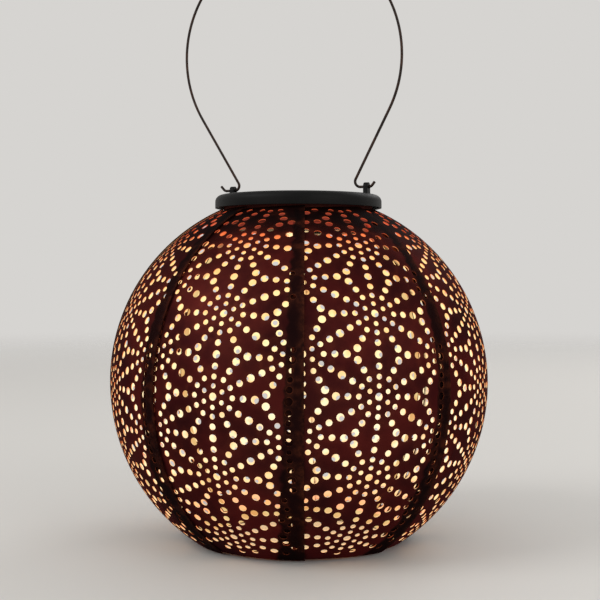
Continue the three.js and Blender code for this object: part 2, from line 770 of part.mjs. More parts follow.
function addLamp() {
  const top = boardBottom - fit;
  const tip = top - ledLength;
  const domeSteps = 3;
  const led = [[0, tip]];
  for (let i = 1; i <= domeSteps; i += 1) {
    const a = i / domeSteps * Math.PI / 2;
    led.push([ledRadius * Math.sin(a), tip + ledRadius - ledRadius * Math.cos(a)]);
  }
  const foot = ledRadius + ledFlange;
  led.push([ledRadius, top - 1], [foot, top - 1], [foot, top], [0, top]);
  addPiece('led', turned(led, 10), 0xfff1c8, 0.2, 0);
  const rim = cupBottom - fit;
  const lensSteps = 3;
  const outer = [];
  const inner = [];
  for (let i = 0; i <= lensSteps; i += 1) {
    const a = i / lensSteps * Math.PI / 2;
    outer.push([lensRadius * Math.sin(a), rim - lensDepth * Math.cos(a)]);
    inner.push([(lensRadius - lensWall) * Math.cos(a), rim - (lensDepth - lensWall) * Math.sin(a)]);
  }
  outer[0][0] = 0;
  inner[lensSteps][0] = 0;
  addPiece('led_lens', turned([...outer, ...inner], 12), 0xf4f6f8, 0.1, 0);
}

function addSwitch() {
  const reach = switchLength / 2;
  const y0 = switchBack - switchWidth / 2;
  const body = box(-reach, reach, y0, y0 + switchWidth, cupFloor + fit, boardBottom - fit);
  addPiece('switch_body', body, 0x2a2a2c, 0.5, 0.2);
  const middle = -switchTravel / 2;
  const x0 = middle - knobLength / 2;
  const x1 = middle + knobLength / 2;
  const k0 = switchBack - knobWidth / 2;
  const stem = box(x0, x1, k0, k0 + knobWidth, cupBottom - knobProud, cupFloor);
  const grooves = [-1, 0, 1].map((i) => {
    const groove = new THREE.CylinderGeometry(grooveRadius, grooveRadius, 2 * knobWidth, 6);
    return groove.translate(middle + i * groovePitch, switchBack, cupBottom - knobProud);
  });
  addPiece('switch_knob', geometryOf(cut(solid(stem), grooves)), 0xc9c9c4, 0.5, 0);
}

// Inner wires, each a smooth curve through a few chosen points
function addLead(name, colour, places) {
  const curve = new THREE.CatmullRomCurve3(places.map(([x, y, z]) => new THREE.Vector3(x, y, z)));
  addPiece(name, wire(curve, leadRadius, 5, 7), colour, 0.5, 0);
}

function addLeads() {
  const padHeight = boardTop + fit;
  const red = 0xb02a20;
  const black = 0x161616;
  const cellEnd = cellBottom - fit;
  for (const [name, colour, side] of [['cell_lead_red', red, 1], ['cell_lead_black', black, -1]]) {
    addLead(name, colour, [
      [side * 1.2, postBack, cellEnd],
      [side * 1.3, postBack, cellEnd - 3],
      [side * 5, postBack - 2, cellEnd - 6],
      [side * 9.8, postBack - 5.6, padHeight + 2.5],
      [side * 10, postBack - 6, padHeight + 1],
      [side * 10, postBack - 6, padHeight],
    ]);
  }
  const start = batteryOffset - contactWidth / 2 - fit;
  for (const [name, colour, side] of [['battery_lead_red', red, 1], ['battery_lead_black', black, -1]]) {
    const x = side * (holderHalf - 2 * fit - leadRadius);
    addLead(name, colour, [
      [x, start, cupFloor + 9],
      [x - side, start - 3, cupFloor + 9.4],
      [x - side * 8, start - 10, boardTop + 3.4],
      [side * (boardWidth / 2 - 3.5), -1.6, boardTop + 3],
      [side * (boardWidth / 2 - 4), -3, padHeight + 1],
      [side * (boardWidth / 2 - 4), -3, padHeight],
    ]);
  }
}

// Points on an arc, from one angle to another
function arcPoints([cx, cz], radius, from, to, steps) {
  return Array.from({ length: steps + 1 }, (_, i) => {
    const a = THREE.MathUtils.lerp(from, to, i / steps);
    return [cx + radius * Math.cos(a), cz + radius * Math.sin(a)];
  });
}

// The bail's centre line as [x, height above the hinge axis]: each half is a turned-up tip, the straight
// run through the ear, the bend at the waist, the straight leg and half of the big loop
function bailPoints() {
  const down = -Math.PI / 2;
  const tipStart = earOffset + earThickness / 2 + Math.abs(bailShift) + fit;
  const tip = arcPoints([tipStart, tipBend], tipBend, down + rad(tipAngle), down, 4);
  const [tipX, tipZ] = tip[0];
  const tipEnd = [tipX + tipLength * Math.cos(rad(tipAngle)), tipZ + tipLength * Math.sin(rad(tipAngle))];
  const waist = [bailWaist + waistBend, waistBend];
  const rise = bailCentre - waist[1];
  const apart = Math.hypot(waist[0], rise);
  const heading = Math.atan2(rise, -waist[0]) - Math.asin((bailRadius + waistBend) / apart);
  const bend = arcPoints(waist, waistBend, down, heading + Math.PI / 2 - 2 * Math.PI, 6);
  const loop = arcPoints([0, bailCentre], bailRadius, heading - Math.PI / 2, Math.PI / 2, 12);
  const half = [tipEnd, ...tip, ...bend, ...loop];
  const left = half.slice(0, -1).map(([x, z]) => [-x, z]).reverse();
  return [...half, ...left];
}

// A round wire bent in the XZ plane, with a ring of points square to the wire at each bend point
function bentWire(path, radius, sides) {
  const points = [];
  const faces = [];
  path.forEach(([x, z], i) => {
    const before = path[Math.max(i - 1, 0)];
    const after = path[Math.min(i + 1, path.length - 1)];
    const length = Math.hypot(after[0] - before[0], after[1] - before[1]);
    const along = [(after[0] - before[0]) / length, (after[1] - before[1]) / length];
    for (let k = 0; k < sides; k += 1) {
      const a = (k + 0.5) * 2 * Math.PI / sides;
      const out = radius * Math.cos(a);
      points.push([x - out * along[1], radius * Math.sin(a), z + out * along[0]]);
    }
  });
  for (let i = 0; i < path.length - 1; i += 1) {
    for (let k = 0; k < sides; k += 1) {
      const a = i * sides + k;
      const b = i * sides + (k + 1) % sides;
      faces.push([a, a + sides, b + sides], [a, b + sides, b]);
    }
  }
  const last = (path.length - 1) * sides;
  for (let k = 1; k < sides - 1; k += 1) faces.push([0, k, k + 1], [last, last + k + 1, last + k]);
  return closedMesh(points, faces);
}

function addBail() {
  const path = bailPoints().map(([x, z]) => [x + bailShift + bailLean * z, hingeHeight + z]);
  addPiece('bail', bentWire(path, wireRadius, 6), ...darkSteel);
}

addPanels();
addFrame();
addCap();
addLightHousing();
addHousingScrews();
addSolarCell();
addBattery();
addContacts();
addBatteryDoor();
addBoard();
addLamp();
addSwitch();
addLeads();
addBail();

export default lantern;
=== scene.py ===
# %% [markdown]
# # A hanging lantern with a perforated copper globe
# This lesson dresses an engineering model in Blender. The model was made elsewhere and is loaded here as
# a fixed frame: every part is already at its real size and place, so nothing has to be fitted by eye.
# Each new piece is made where the frame says, rides on one of its moving bodies, and hides the plain part
# that it stands for.

# %% Load the frame
import json
import math

import bpy
from mathutils import Matrix, Vector
from mathutils.geometry import delaunay_2d_cdt


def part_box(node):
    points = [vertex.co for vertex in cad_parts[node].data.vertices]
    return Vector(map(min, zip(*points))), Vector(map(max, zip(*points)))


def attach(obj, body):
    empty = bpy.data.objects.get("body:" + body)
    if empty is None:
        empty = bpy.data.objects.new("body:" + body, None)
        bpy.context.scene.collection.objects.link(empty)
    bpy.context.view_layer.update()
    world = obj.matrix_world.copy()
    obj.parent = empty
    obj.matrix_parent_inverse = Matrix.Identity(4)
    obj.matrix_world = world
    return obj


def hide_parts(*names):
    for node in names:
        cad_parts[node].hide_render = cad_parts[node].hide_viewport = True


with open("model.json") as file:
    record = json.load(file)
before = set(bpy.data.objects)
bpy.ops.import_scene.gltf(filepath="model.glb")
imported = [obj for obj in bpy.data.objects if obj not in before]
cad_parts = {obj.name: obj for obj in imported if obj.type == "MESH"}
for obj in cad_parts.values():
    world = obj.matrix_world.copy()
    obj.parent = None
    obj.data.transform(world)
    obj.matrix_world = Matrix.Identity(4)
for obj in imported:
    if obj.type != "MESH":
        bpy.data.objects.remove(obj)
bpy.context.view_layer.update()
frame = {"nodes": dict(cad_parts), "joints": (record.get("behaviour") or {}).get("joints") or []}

# %% [markdown]
# ## The sizes that everything shares
# A lantern like this is built round its light unit: the cup drops into the collar, the cap covers both,
# and the globe closes round the collar. The same chain is followed here, starting from the outside of the
# cap, which the frame gives. Lengths are in metres, written as millimetres times MM.

# %% Sizes
MM = 0.001
globe_radius = 127 * MM
globe_height = 105.5 * MM
panel_count = 8
sheet = 0.5 * MM
seam_drop = 1.8 * MM
layer_gap = 0.5 * MM
fit = 0.3 * MM
rib_width = 5 * MM
rib_thickness = 1 * MM
cap_wall = 2 * MM
skirt_room = 4.3 * MM
collar_wall = 1.5 * MM
cup_clear = 2.7 * MM
cup_wall = 2 * MM
cover_sunk = 0.2 * MM
top_clear = 0.7 * MM

cap_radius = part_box("cap_housing")[1].x
cap_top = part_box("cell_cover")[1].z + cover_sunk
rim_inner = cap_radius - cap_wall
sleeve_outer = rim_inner - skirt_room
collar_bore = sleeve_outer - collar_wall
cup_outer = collar_bore - cup_clear
cup_inner = cup_outer - cup_wall
frame_radius = globe_radius - seam_drop - sheet - layer_gap
lat_bottom = -math.asin((globe_height - fit) / globe_radius)
lat_top = math.acos((sleeve_outer + top_clear) / (globe_radius - seam_drop - sheet))
lamp_spot = Vector((0, 0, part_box("led")[0].z))
joints = {joint["name"]: joint for joint in frame["joints"]}
hinge_height = joints["bail_swing"]["pos_m"][2]
print("cap radius", round(cap_radius / MM, 2), "mm, hinge at", round(hinge_height / MM, 2), "mm")

# %% [markdown]
# ## A few tools for the bench
# Blender's operators act on whatever is selected, and loading the frame leaves its parts selected, so
# every tool starts by deselecting. `spun` is the most used one: it draws half a section by extruding a
# single point, then turns it round the lantern's axis, as a spinning lathe does with sheet metal. The
# doubled points on the seam are merged first and the normals are recalculated after. `at_spots` puts the
# same peg or hole at several places, and `all_round` repeats a piece once for each panel.

# %% Modelling tools
def only(piece):
    bpy.ops.object.select_all(action="DESELECT")
    piece.select_set(True)
    bpy.context.view_layer.objects.active = piece
    return piece


def edit_points(piece):
    only(piece)
    bpy.ops.object.mode_set(mode="EDIT")
    bpy.ops.mesh.select_mode(type="VERT")
    bpy.ops.mesh.select_all(action="SELECT")


def close_seam():
    bpy.ops.mesh.select_all(action="SELECT")
    bpy.ops.mesh.remove_doubles(threshold=MM / 1000)
    bpy.ops.mesh.normals_make_consistent(inside=False)
    bpy.ops.object.mode_set(mode="OBJECT")


def settle(piece, name):
    piece.name = name
    piece.data.name = name
    only(piece)
    bpy.ops.object.transform_apply(location=True, rotation=True, scale=True)
    return piece


def apply(piece, kind, **settings):
    only(piece)
    modifier = piece.modifiers.new(kind.title(), kind)
    for setting, value in settings.items():
        setattr(modifier, setting, value)
    bpy.ops.object.modifier_apply(modifier=modifier.name)
    return piece


def soften(piece, width, segments=2, angle=35):
    limit = {"limit_method": "ANGLE", "angle_limit": math.radians(angle)}
    apply(piece, "BEVEL", width=width, segments=segments, **limit)
    return smooth(piece, angle)


def smooth(piece, angle):
    only(piece)
    bpy.ops.object.shade_smooth_by_angle(angle=math.radians(angle))
    return piece


def block(name, low, high):
    bpy.ops.object.select_all(action="DESELECT")
    low, high = Vector(low), Vector(high)
    bpy.ops.mesh.primitive_cube_add(size=1, location=(low + high) / 2, scale=high - low)
    return settle(bpy.context.object, name)


def drum(name, radius, low, high, sides, turn=(0, 0, 0)):
    bpy.ops.object.select_all(action="DESELECT")
    low, high = Vector(low), Vector(high)
    bpy.ops.mesh.primitive_cylinder_add(
        vertices=sides, radius=radius, depth=(high - low).length, location=(low + high) / 2, rotation=turn
    )
    return settle(bpy.context.object, name)


def single_point(spot):
    bpy.ops.object.select_all(action="DESELECT")
    bpy.ops.mesh.primitive_plane_add(size=MM)
    piece = bpy.context.object
    edit_points(piece)
    bpy.ops.mesh.merge(type="CENTER")
    bpy.ops.transform.translate(value=spot)
    return piece


def spun(name, profile, steps, centre=(0, 0)):
    radius, height = profile[0]
    piece = single_point((radius, 0, height))
    for next_radius, next_height in profile[1:]:
        step = (next_radius - radius, 0, next_height - height)
        bpy.ops.mesh.extrude_region_move(TRANSFORM_OT_translate={"value": step})
        radius, height = next_radius, next_height
    bpy.ops.mesh.select_all(action="SELECT")
    bpy.ops.mesh.spin(steps=steps, angle=2 * math.pi, center=(0, 0, 0), axis=(0, 0, 1))
    close_seam()
    piece.location = (centre[0], centre[1], 0)
    return settle(piece, name)


def combine(piece, other, operation):
    apply(piece, "BOOLEAN", object=other, operation=operation, solver="EXACT")
    bpy.data.objects.remove(other)
    return piece


def at_spots(piece, operation, spots, name, radius, low, high, sides):
    for x, y in spots:
        piece = combine(piece, drum(name, radius, (x, y, low), (x, y, high), sides), operation)
    return piece


def all_round(first, label):
    pieces = [first]
    for i in range(1, panel_count):
        piece = first.copy()
        piece.data = first.data.copy()
        piece.name = piece.data.name = f"{label}_{i + 1}"
        piece.data.transform(Matrix.Rotation(2 * math.pi * i / panel_count, 4, "Z"))
        bpy.context.scene.collection.objects.link(piece)
        pieces.append(piece)
    return pieces


def arc(centre, radius, start, end, steps):
    angles = [math.radians(start + (end - start) * i / steps) for i in range(steps + 1)]
    return [(centre[0] + radius * math.cos(a), centre[1] + radius * math.sin(a)) for a in angles]


def hand_over(piece, body, slot, finish, *nodes):
    if finish is not None:
        piece.data.materials.clear()
        piece.data.materials.append(finish)
    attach(piece, body)
    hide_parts(*nodes)
    print(piece.name, "has", len(piece.data.polygons), "faces")


along_x = (0, math.pi / 2, 0)
along_y = (math.pi / 2, 0, 0)
print("modelling tools ready")

# %% [markdown]
# ## A way to write finishes
# A finish is a small calculation that runs at every point of a surface. Node trees get long when they
# are drawn by hand, so a `Value` wraps a socket and lets Python's own signs add the Math nodes, and
# `Finish.node` adds any other node: its type, then its settings, then its sockets. Colours never go
# through a Math node, which would turn them grey: they are mixed. `facing_lamp` tells how squarely a
# surface faces the lantern's own lamp, which decides where the copper looks lit. `speckled` makes the
# plain finish that the small parts share: two close tones, an uneven shine and a fine bump.

# %% Shader tools
class Value:
    def __init__(self, finish, socket):
        self.finish = finish
        self.socket = socket

    def math(self, operation, *others):
        sockets = {i: other for i, other in enumerate((self, *others))}
        return self.finish.node("ShaderNodeMath", {"operation": operation}, sockets)

    def __add__(self, other):
        return self.math("ADD", other)

    def __mul__(self, other):
        return self.math("MULTIPLY", other)

    def __sub__(self, other):
        return self.math("SUBTRACT", other)

    def __rsub__(self, other):
        return (self * -1) + other

    def __truediv__(self, other):
        return self.math("DIVIDE", other)

    def __pow__(self, other):
        return self.math("POWER", other)

    __radd__ = __add__

    def band(self, low, high):
        sockets = {"Value": self, "From Min": low, "From Max": high}
        return self.finish.node("ShaderNodeMapRange", {"interpolation_type": "SMOOTHSTEP"}, sockets)


class Finish:
    def __init__(self, name, **plain):
        self.material = bpy.data.materials.new(name)
        self.material.use_nodes = True
        self.tree = self.material.node_tree
        self.shader = self.tree.nodes["Principled BSDF"]
        self.set(**plain)

    def node(self, kind, settings=None, sockets=None, output=0):
        made = self.tree.nodes.new(kind)
        for setting, value in (settings or {}).items():
            setattr(made, setting, value)
        for key, value in (sockets or {}).items():
            self.plug(made.inputs[key], value)
        return Value(self, made.outputs[output])

    def plug(self, socket, value):
        if isinstance(value, Value):
            self.tree.links.new(value.socket, socket)
        else:
            socket.default_value = value

    def set(self, **sockets):
        for name, value in sockets.items():
            self.plug(self.shader.inputs[name.replace("_", " ").title().replace("Ior", "IOR")], value)
        return self

    def place(self):
        return self.node("ShaderNodeTexCoord", output="Object")

    def along(self, axis):
        return self.node("ShaderNodeSeparateXYZ", None, {"Vector": self.place()}, output=axis)

    def height(self):
        return self.along("Z")

    def vector(self, operation, *values, output=0):
        return self.node("ShaderNodeVectorMath", {"operation": operation}, dict(enumerate(values)), output)

    def noise(self, scale, detail, roughness, stretch=None):
        where = self.place()
        if stretch:
            where = self.node("ShaderNodeMapping", None, {"Vector": where, "Scale": stretch})
        sockets = {"Vector": where, "Scale": scale, "Detail": detail, "Roughness": roughness}
        return self.node("ShaderNodeTexNoise", None, sockets)

    def facing_lamp(self):
        towards = self.vector("NORMALIZE", self.vector("SUBTRACT", lamp_spot, self.place()))
        facing = self.node("ShaderNodeTexCoord", output="Normal")
        return self.vector("DOT_PRODUCT", facing, towards, output="Value")

    def attribute(self, name):
        return self.node("ShaderNodeAttribute", {"attribute_name": name}, output="Fac")

    def mix(self, factor, first, second):
        return self.node("ShaderNodeMix", {"data_type": "RGBA"}, {0: factor, 6: first, 7: second}, output=2)

    def bump(self, height, distance, strength):
        sockets = {"Height": height, "Distance": distance, "Strength": strength}
        return self.set(normal=self.node("ShaderNodeBump", None, sockets))


def tone(red, green, blue):
    def linear(level):
        level = level / 255
        return level / 12.92 if level <= 0.04045 else ((level + 0.055) / 1.055) ** 2.4

    return (linear(red), linear(green), linear(blue), 1.0)


def speckled(name, first, second, roughness, scale=600, uneven=0.15, **plain):
    finish = Finish(name, **plain)
    speck = finish.noise(scale, 3, 0.6)
    finish.set(base_color=finish.mix(speck.band(0.3, 0.7), first, second))
    finish.set(roughness=roughness + speck * uneven)
    return finish.bump(speck, 0.01 * MM, 0.4).material


print("shader tools ready")

# %% [markdown]
# ## The camera
# The photograph was taken from a little above the middle of the globe, about 0.8 m away, and nearly
# level. The camera here stands at the same place: the angle round the lantern, the height over the
# globe's middle and the distance are what the photograph's holes gave, and a lens of 72 mm frames it.

# %% Camera
view_azimuth = math.radians(23.25)
view_elevation = math.radians(5.04)
view_distance = 812.8 * MM
tilt_down = math.radians(1.16)
turn_right = math.radians(0.077)

globe_middle = Vector((0, 0, globe_height))
level = math.cos(view_elevation) * view_distance
offset = Vector((math.sin(view_azimuth) * level, -math.cos(view_azimuth) * level, 0))
offset.z = math.sin(view_elevation) * view_distance
camera_data = bpy.data.cameras.new("camera")
camera_data.lens = 71.9
camera_data.sensor_width = 36
camera = bpy.data.objects.new("camera", camera_data)
camera.location = globe_middle + offset
camera.rotation_euler = (math.pi / 2 - tilt_down, 0, view_azimuth - turn_right)
bpy.context.scene.collection.objects.link(camera)
bpy.context.scene.camera = camera
bpy.context.scene.view_settings.view_transform = "Standard"
print("camera", [round(v, 4) for v in camera.location])

# %% [markdown]
# ## The studio
# A pale floor fades into a pale surrounding, so no horizon cuts the picture. Three large soft lamps and the
# surrounding light stay at a plain level, at which a mid grey card renders mid grey. Through Light Path,
# the surroundings show their pale colour to the camera, in reflections and through clear parts, and light
# everything else with a plain white.

# %% Floor, surroundings and lamps
def pale_floor():
    below_foot = (0, 0, -0.2 * MM)
    bpy.ops.object.select_all(action="DESELECT")
    bpy.ops.mesh.primitive_circle_add(vertices=96, radius=4, fill_type="NGON", location=below_foot)
    floor = settle(bpy.context.object, "floor")
    finish = Finish("pale_floor", roughness=0.7, base_color=tone(214, 211, 206))
    away = finish.vector("LENGTH", finish.place(), output="Value")
    finish.set(alpha=1 - away.band(1.0, 3.2))
    floor.data.materials.append(finish.material)


def surroundings():
    world = bpy.data.worlds.new("surroundings")
    world.use_nodes = True
    tree = world.node_tree
    light = tree.nodes["Background"]
    light.inputs["Color"].default_value = (1, 1, 1, 1)
    light.inputs["Strength"].default_value = 0.62
    seen = tree.nodes.new("ShaderNodeBackground")
    seen.inputs["Color"].default_value = tone(214, 212, 209)
    path = tree.nodes.new("ShaderNodeLightPath")
    shown = path.outputs["Is Camera Ray"]
    for ray in ("Is Glossy Ray", "Is Transmission Ray"):
        either = tree.nodes.new("ShaderNodeMath")
        either.operation = "MAXIMUM"
        tree.links.new(shown, either.inputs[0])
        tree.links.new(path.outputs[ray], either.inputs[1])
        shown = either.outputs[0]
    choice = tree.nodes.new("ShaderNodeMixShader")
    tree.links.new(shown, choice.inputs[0])
    tree.links.new(light.outputs[0], choice.inputs[1])
    tree.links.new(seen.outputs[0], choice.inputs[2])
    tree.links.new(choice.outputs[0], tree.nodes["World Output"].inputs["Surface"])
    bpy.context.scene.world = world


def soft_lamp(name, spot, size, power):
    data = bpy.data.lights.new(name, "AREA")
    data.shape = "RECTANGLE"
    data.size, data.size_y = size
    data.energy = power
    lamp = bpy.data.objects.new(name, data)
    lamp.location = spot
    lamp.rotation_euler = (globe_middle - Vector(spot)).to_track_quat("-Z", "Y").to_euler()
    bpy.context.scene.collection.objects.link(lamp)


pale_floor()
surroundings()
soft_lamp("key_lamp", (-1.3, -1.5, 1.6), (1.2, 1.2), 20)
soft_lamp("fill_lamp", (1.7, -0.8, 0.9), (1.0, 1.4), 8)
soft_lamp("back_lamp", (0.6, 1.8, 1.4), (1.4, 0.8), 10)
print("studio set")

# %% [markdown]
# ## The shade's star lattice
# On the real lantern the pattern is punched into flat sheet: dotted stars on a hexagonal lattice, each
# with twelve rays of holes that grow towards the ends. The flat gores are then pressed to the globe.
# The same order works here. The holes are laid out flat, one star at a time, and a mapping between flat
# sheet and globe stands for the press. `press_blend` says how the sheet gave way: 0 would keep lengths
# across the panel, 1 would keep them along the parallels.

# %% Star lattice
star_pitch = 49.8 * MM
star_stretch = 1.067
star_turn = math.radians(-2.4)
star_rise = 1.3 * MM
press_blend = 0.36
hole_margin = 1.6 * MM
hem_top = 2.5 * MM
hem_bottom = 4 * MM
lap_top = -2 * MM
lap_bottom = 9.5 * MM
past_rib = 2.4 * MM

middle_hole = 4.7 * MM
ray_to_neighbour = [(0.127, 3.0 * MM), (0.237, 3.4 * MM), (0.360, 4.0 * MM), (0.5, 4.8 * MM)]
ray_between = [(0.237, 3.4 * MM), (0.361, 4.0 * MM), (0.4955, 4.7 * MM)]


def pressed(x, y):
    u, v = x / globe_radius, y / globe_radius
    bent_lat = math.asin(math.sin(v) * math.cos(u))
    bent_lon = math.atan2(math.sin(u), math.cos(u) * math.cos(v))
    lat = (1 - press_blend) * bent_lat + press_blend * v
    lon = (1 - press_blend) * bent_lon + press_blend * u / math.cos(v)
    return lon, lat


def left_edge(lat):
    share = (lat_top - lat) / (lat_top - lat_bottom)
    lap = lap_top + (lap_bottom - lap_top) * share + rib_width / 2
    return -math.pi / panel_count - lap / (globe_radius * math.cos(lat))


def right_edge(lat):
    return math.pi / panel_count + (rib_width / 2 + past_rib) / (globe_radius * math.cos(lat))


def fits_on_panel(lon, lat, radius):
    if globe_radius * (lat_top - lat) < radius + hem_top:
        return False
    if globe_radius * (lat - lat_bottom) < radius + hem_bottom:
        return False
    across = globe_radius * math.cos(lat)
    side = radius + hole_margin
    return (lon - left_edge(lat)) * across > side and (right_edge(lat) - lon) * across > side + past_rib


def star_offsets():
    offsets = [(0, 0, middle_hole)]
    for arm in range(6):
        towards = math.radians(30 + 60 * arm)
        for reach, diameter in ray_to_neighbour:
            if reach == 0.5 and arm > 2:
                continue
            offsets.append((reach * math.cos(towards), reach * math.sin(towards), diameter))
        between = math.radians(60 * arm)
        for reach, diameter in ray_between:
            offsets.append((reach * math.cos(between), reach * math.sin(between), diameter))
    return [(x * star_pitch * star_stretch, y * star_pitch, d) for x, y, d in offsets]


def star_lattice():
    column_pitch = star_pitch * star_stretch * math.sqrt(3) / 2
    holes = []
    for column in range(-3, 4):
        for row in range(-5, 6):
            star_x = column * column_pitch
            star_y = (row + 0.5 * (column % 2)) * star_pitch
            for dx, dy, diameter in star_offsets():
                x, y = star_x + dx, star_y + dy
                turned_x = x * math.cos(star_turn) - y * math.sin(star_turn)
                turned_y = x * math.sin(star_turn) + y * math.cos(star_turn) + star_rise
                if abs(turned_y) > 0.45 * math.pi * globe_radius:
                    continue
                lon, lat = pressed(turned_x, turned_y)
                if fits_on_panel(lon, lat, diameter / 2):
                    holes.append((lon, lat, diameter / 2))
    return holes


holes = star_lattice()
print(len(holes), "holes in each panel")

# %% [markdown]
# ## The panels
# Eight gores make the globe, each lapped under its left neighbour and dropping a little towards that
# side. A panel with hundreds of holes could be a sphere cut by hundreds of cylinders, but each cut leaves
# ragged slivers that shine badly on metal. So this piece is made in mesh code instead: the sheet is
# triangulated flat, with every hole's rim and a second ring round it as fixed edges, then lifted onto the
# globe. Each rim is set a tenth of a millimetre deep, which gives the rolled-over lip of a punched hole.
# A Solidify modifier adds the sheet's thickness, with slots of their own for the inner face and the
# holes' walls, and the panel's own edges go back to the outer finish. Three attributes are kept for the
# finish: `wear` on the lips and edges, `over` where the panel lies over its right neighbour and the lamp
# can't reach its inner face, and `under` where the left one covers it. One panel is made, and the others
# are turned copies with meshes of their own.

# %% Panel mesh
hole_sides = 12
lip_width = 0.5 * MM
lip_depth = 0.1 * MM
bend_spacing = 4 * MM
bend_clear = 1.2 * MM
seam_soft = 1.5 * MM
edge_wear = 0.7


def to_sheet(lon, lat):
    return (lon * globe_radius * math.cos(lat), lat * globe_radius)


def ring_round(lon, lat, radius):
    ring = []
    for i in range(hole_sides):
        a = 2 * math.pi * i / hole_sides
        ring_lat = lat + radius * math.sin(a) / globe_radius
        ring_lon = lon + radius * math.cos(a) / (globe_radius * math.cos(lat))
        ring.append(to_sheet(ring_lon, ring_lat))
    return ring


def panel_outline():
    side_steps, bottom_steps, top_steps = 72, 40, 20
    points = []
    for i in range(bottom_steps):
        lon = left_edge(lat_bottom) + (right_edge(lat_bottom) - left_edge(lat_bottom)) * i / bottom_steps
        points.append(to_sheet(lon, lat_bottom))
    for i in range(side_steps):
        lat = lat_bottom + (lat_top - lat_bottom) * i / side_steps
        points.append(to_sheet(right_edge(lat), lat))
    for i in range(top_steps):
        lon = right_edge(lat_top) + (left_edge(lat_top) - right_edge(lat_top)) * i / top_steps
        points.append(to_sheet(lon, lat_top))
    for i in range(side_steps):
        lat = lat_top + (lat_bottom - lat_top) * i / side_steps
        points.append(to_sheet(left_edge(lat), lat))
    return points


def bend_points():
    rims = [(to_sheet(lon, lat), radius + lip_width + bend_clear) for lon, lat, radius in holes]
    points = []
    rows = int((lat_top - lat_bottom) * globe_radius / bend_spacing)
    columns = int(math.pi * globe_radius / panel_count / bend_spacing) + 6
    for row in range(1, rows):
        y = lat_bottom * globe_radius + row * (lat_top - lat_bottom) * globe_radius / rows
        for column in range(-columns, columns + 1):
            x = (column + 0.5 * (row % 2)) * bend_spacing
            lon = x / (globe_radius * math.cos(y / globe_radius))
            if not fits_on_panel(lon, y / globe_radius, 0):
                continue
            if all(math.hypot(x - px, y - py) > clear for (px, py), clear in rims):
                points.append((x, y))
    return points


def edge_share(lon, lat):
    return (lon - left_edge(lat)) / (right_edge(lat) - left_edge(lat))


def lap_shades(lon, lat):
    across = globe_radius * math.cos(lat)
    overlap = (right_edge(lat) - left_edge(lat) - 2 * math.pi / panel_count) * across
    over = overlap + seam_soft - (right_edge(lat) - lon) * across
    under = overlap - (lon - left_edge(lat)) * across
    return [min(1, max(0, shade / seam_soft)) for shade in (over, under)]


def flat_sheet():
    points, owners, edges = [], [], []

    def add_loop(loop, owner):
        first = len(points)
        points.extend(loop)
        owners.extend([owner] * len(loop))
        edges.extend((first + i, first + (i + 1) % len(loop)) for i in range(len(loop)))

    add_loop(panel_outline(), ("edge", 0))
    for number, (lon, lat, radius) in enumerate(holes):
        add_loop(ring_round(lon, lat, radius), ("rim", number))
        add_loop(ring_round(lon, lat, radius + lip_width), ("lip", number))
    extra = bend_points()
    points.extend(extra)
    owners.extend([("bend", 0)] * len(extra))
    flat = [Vector((x / MM, y / MM)) for x, y in points]
    verts, _, faces, sources, _, _ = delaunay_2d_cdt(flat, edges, [], 0, 1e-4, True)
    kinds = [owners[source[0]] for source in sources]
    return [(v.x * MM, v.y * MM) for v in verts], kinds, faces


def panel_mesh(name):
    flat, kinds, faces = flat_sheet()
    places, shades, drops = [], [], {"rim": lip_depth}
    for (x, y), (kind, _) in zip(flat, kinds):
        lat = y / globe_radius
        lon = x / (globe_radius * math.cos(lat))
        radius = globe_radius - seam_drop * (1 - edge_share(lon, lat)) - drops.get(kind, 0)
        out = radius * math.cos(lat)
        places.append((out * math.cos(lon), out * math.sin(lon), globe_height + radius * math.sin(lat)))
        shades.append(lap_shades(lon, lat))
    kept = []
    for face in faces:
        if kinds[face[0]][0] == "rim" and len({kinds[v] for v in face}) == 1:
            continue
        if all(kinds[v][0] == "edge" for v in face):
            x = sum(flat[v][0] for v in face) / 3
            lat = sum(flat[v][1] for v in face) / 3 / globe_radius
            if not 0 < edge_share(x / (globe_radius * math.cos(lat)), lat) < 1:
                continue
        kept.append(face)
    mesh = bpy.data.meshes.new(name)
    mesh.from_pydata(places, [], kept)
    wear = [{"rim": 1.0, "lip": 0.45, "edge": edge_wear}.get(kind, 0.0) for kind, _ in kinds]
    over, under = zip(*shades)
    for kind, values in (("wear", wear), ("over", over), ("under", under)):
        mesh.attributes.new(kind, "FLOAT", "POINT").data.foreach_set("value", values)
    return mesh


def shade_panel(finishes):
    panel = bpy.data.objects.new("panel_1", panel_mesh("panel_1"))
    bpy.context.scene.collection.objects.link(panel)
    for finish in finishes:
        panel.data.materials.append(finish)
    apply(panel, "SOLIDIFY", thickness=sheet, offset=-1, material_offset=1, material_offset_rim=2)
    wear = panel.data.attributes["wear"].data
    for face in panel.data.polygons:
        if face.material_index == 2 and all(abs(wear[v].value - edge_wear) < 0.01 for v in face.vertices):
            face.material_index = 0
    return smooth(panel, 40)


flat_width = (right_edge(0) - left_edge(0)) * globe_radius
print("laid flat, a panel is", round(flat_width / MM, 1), "mm wide at the globe's middle")
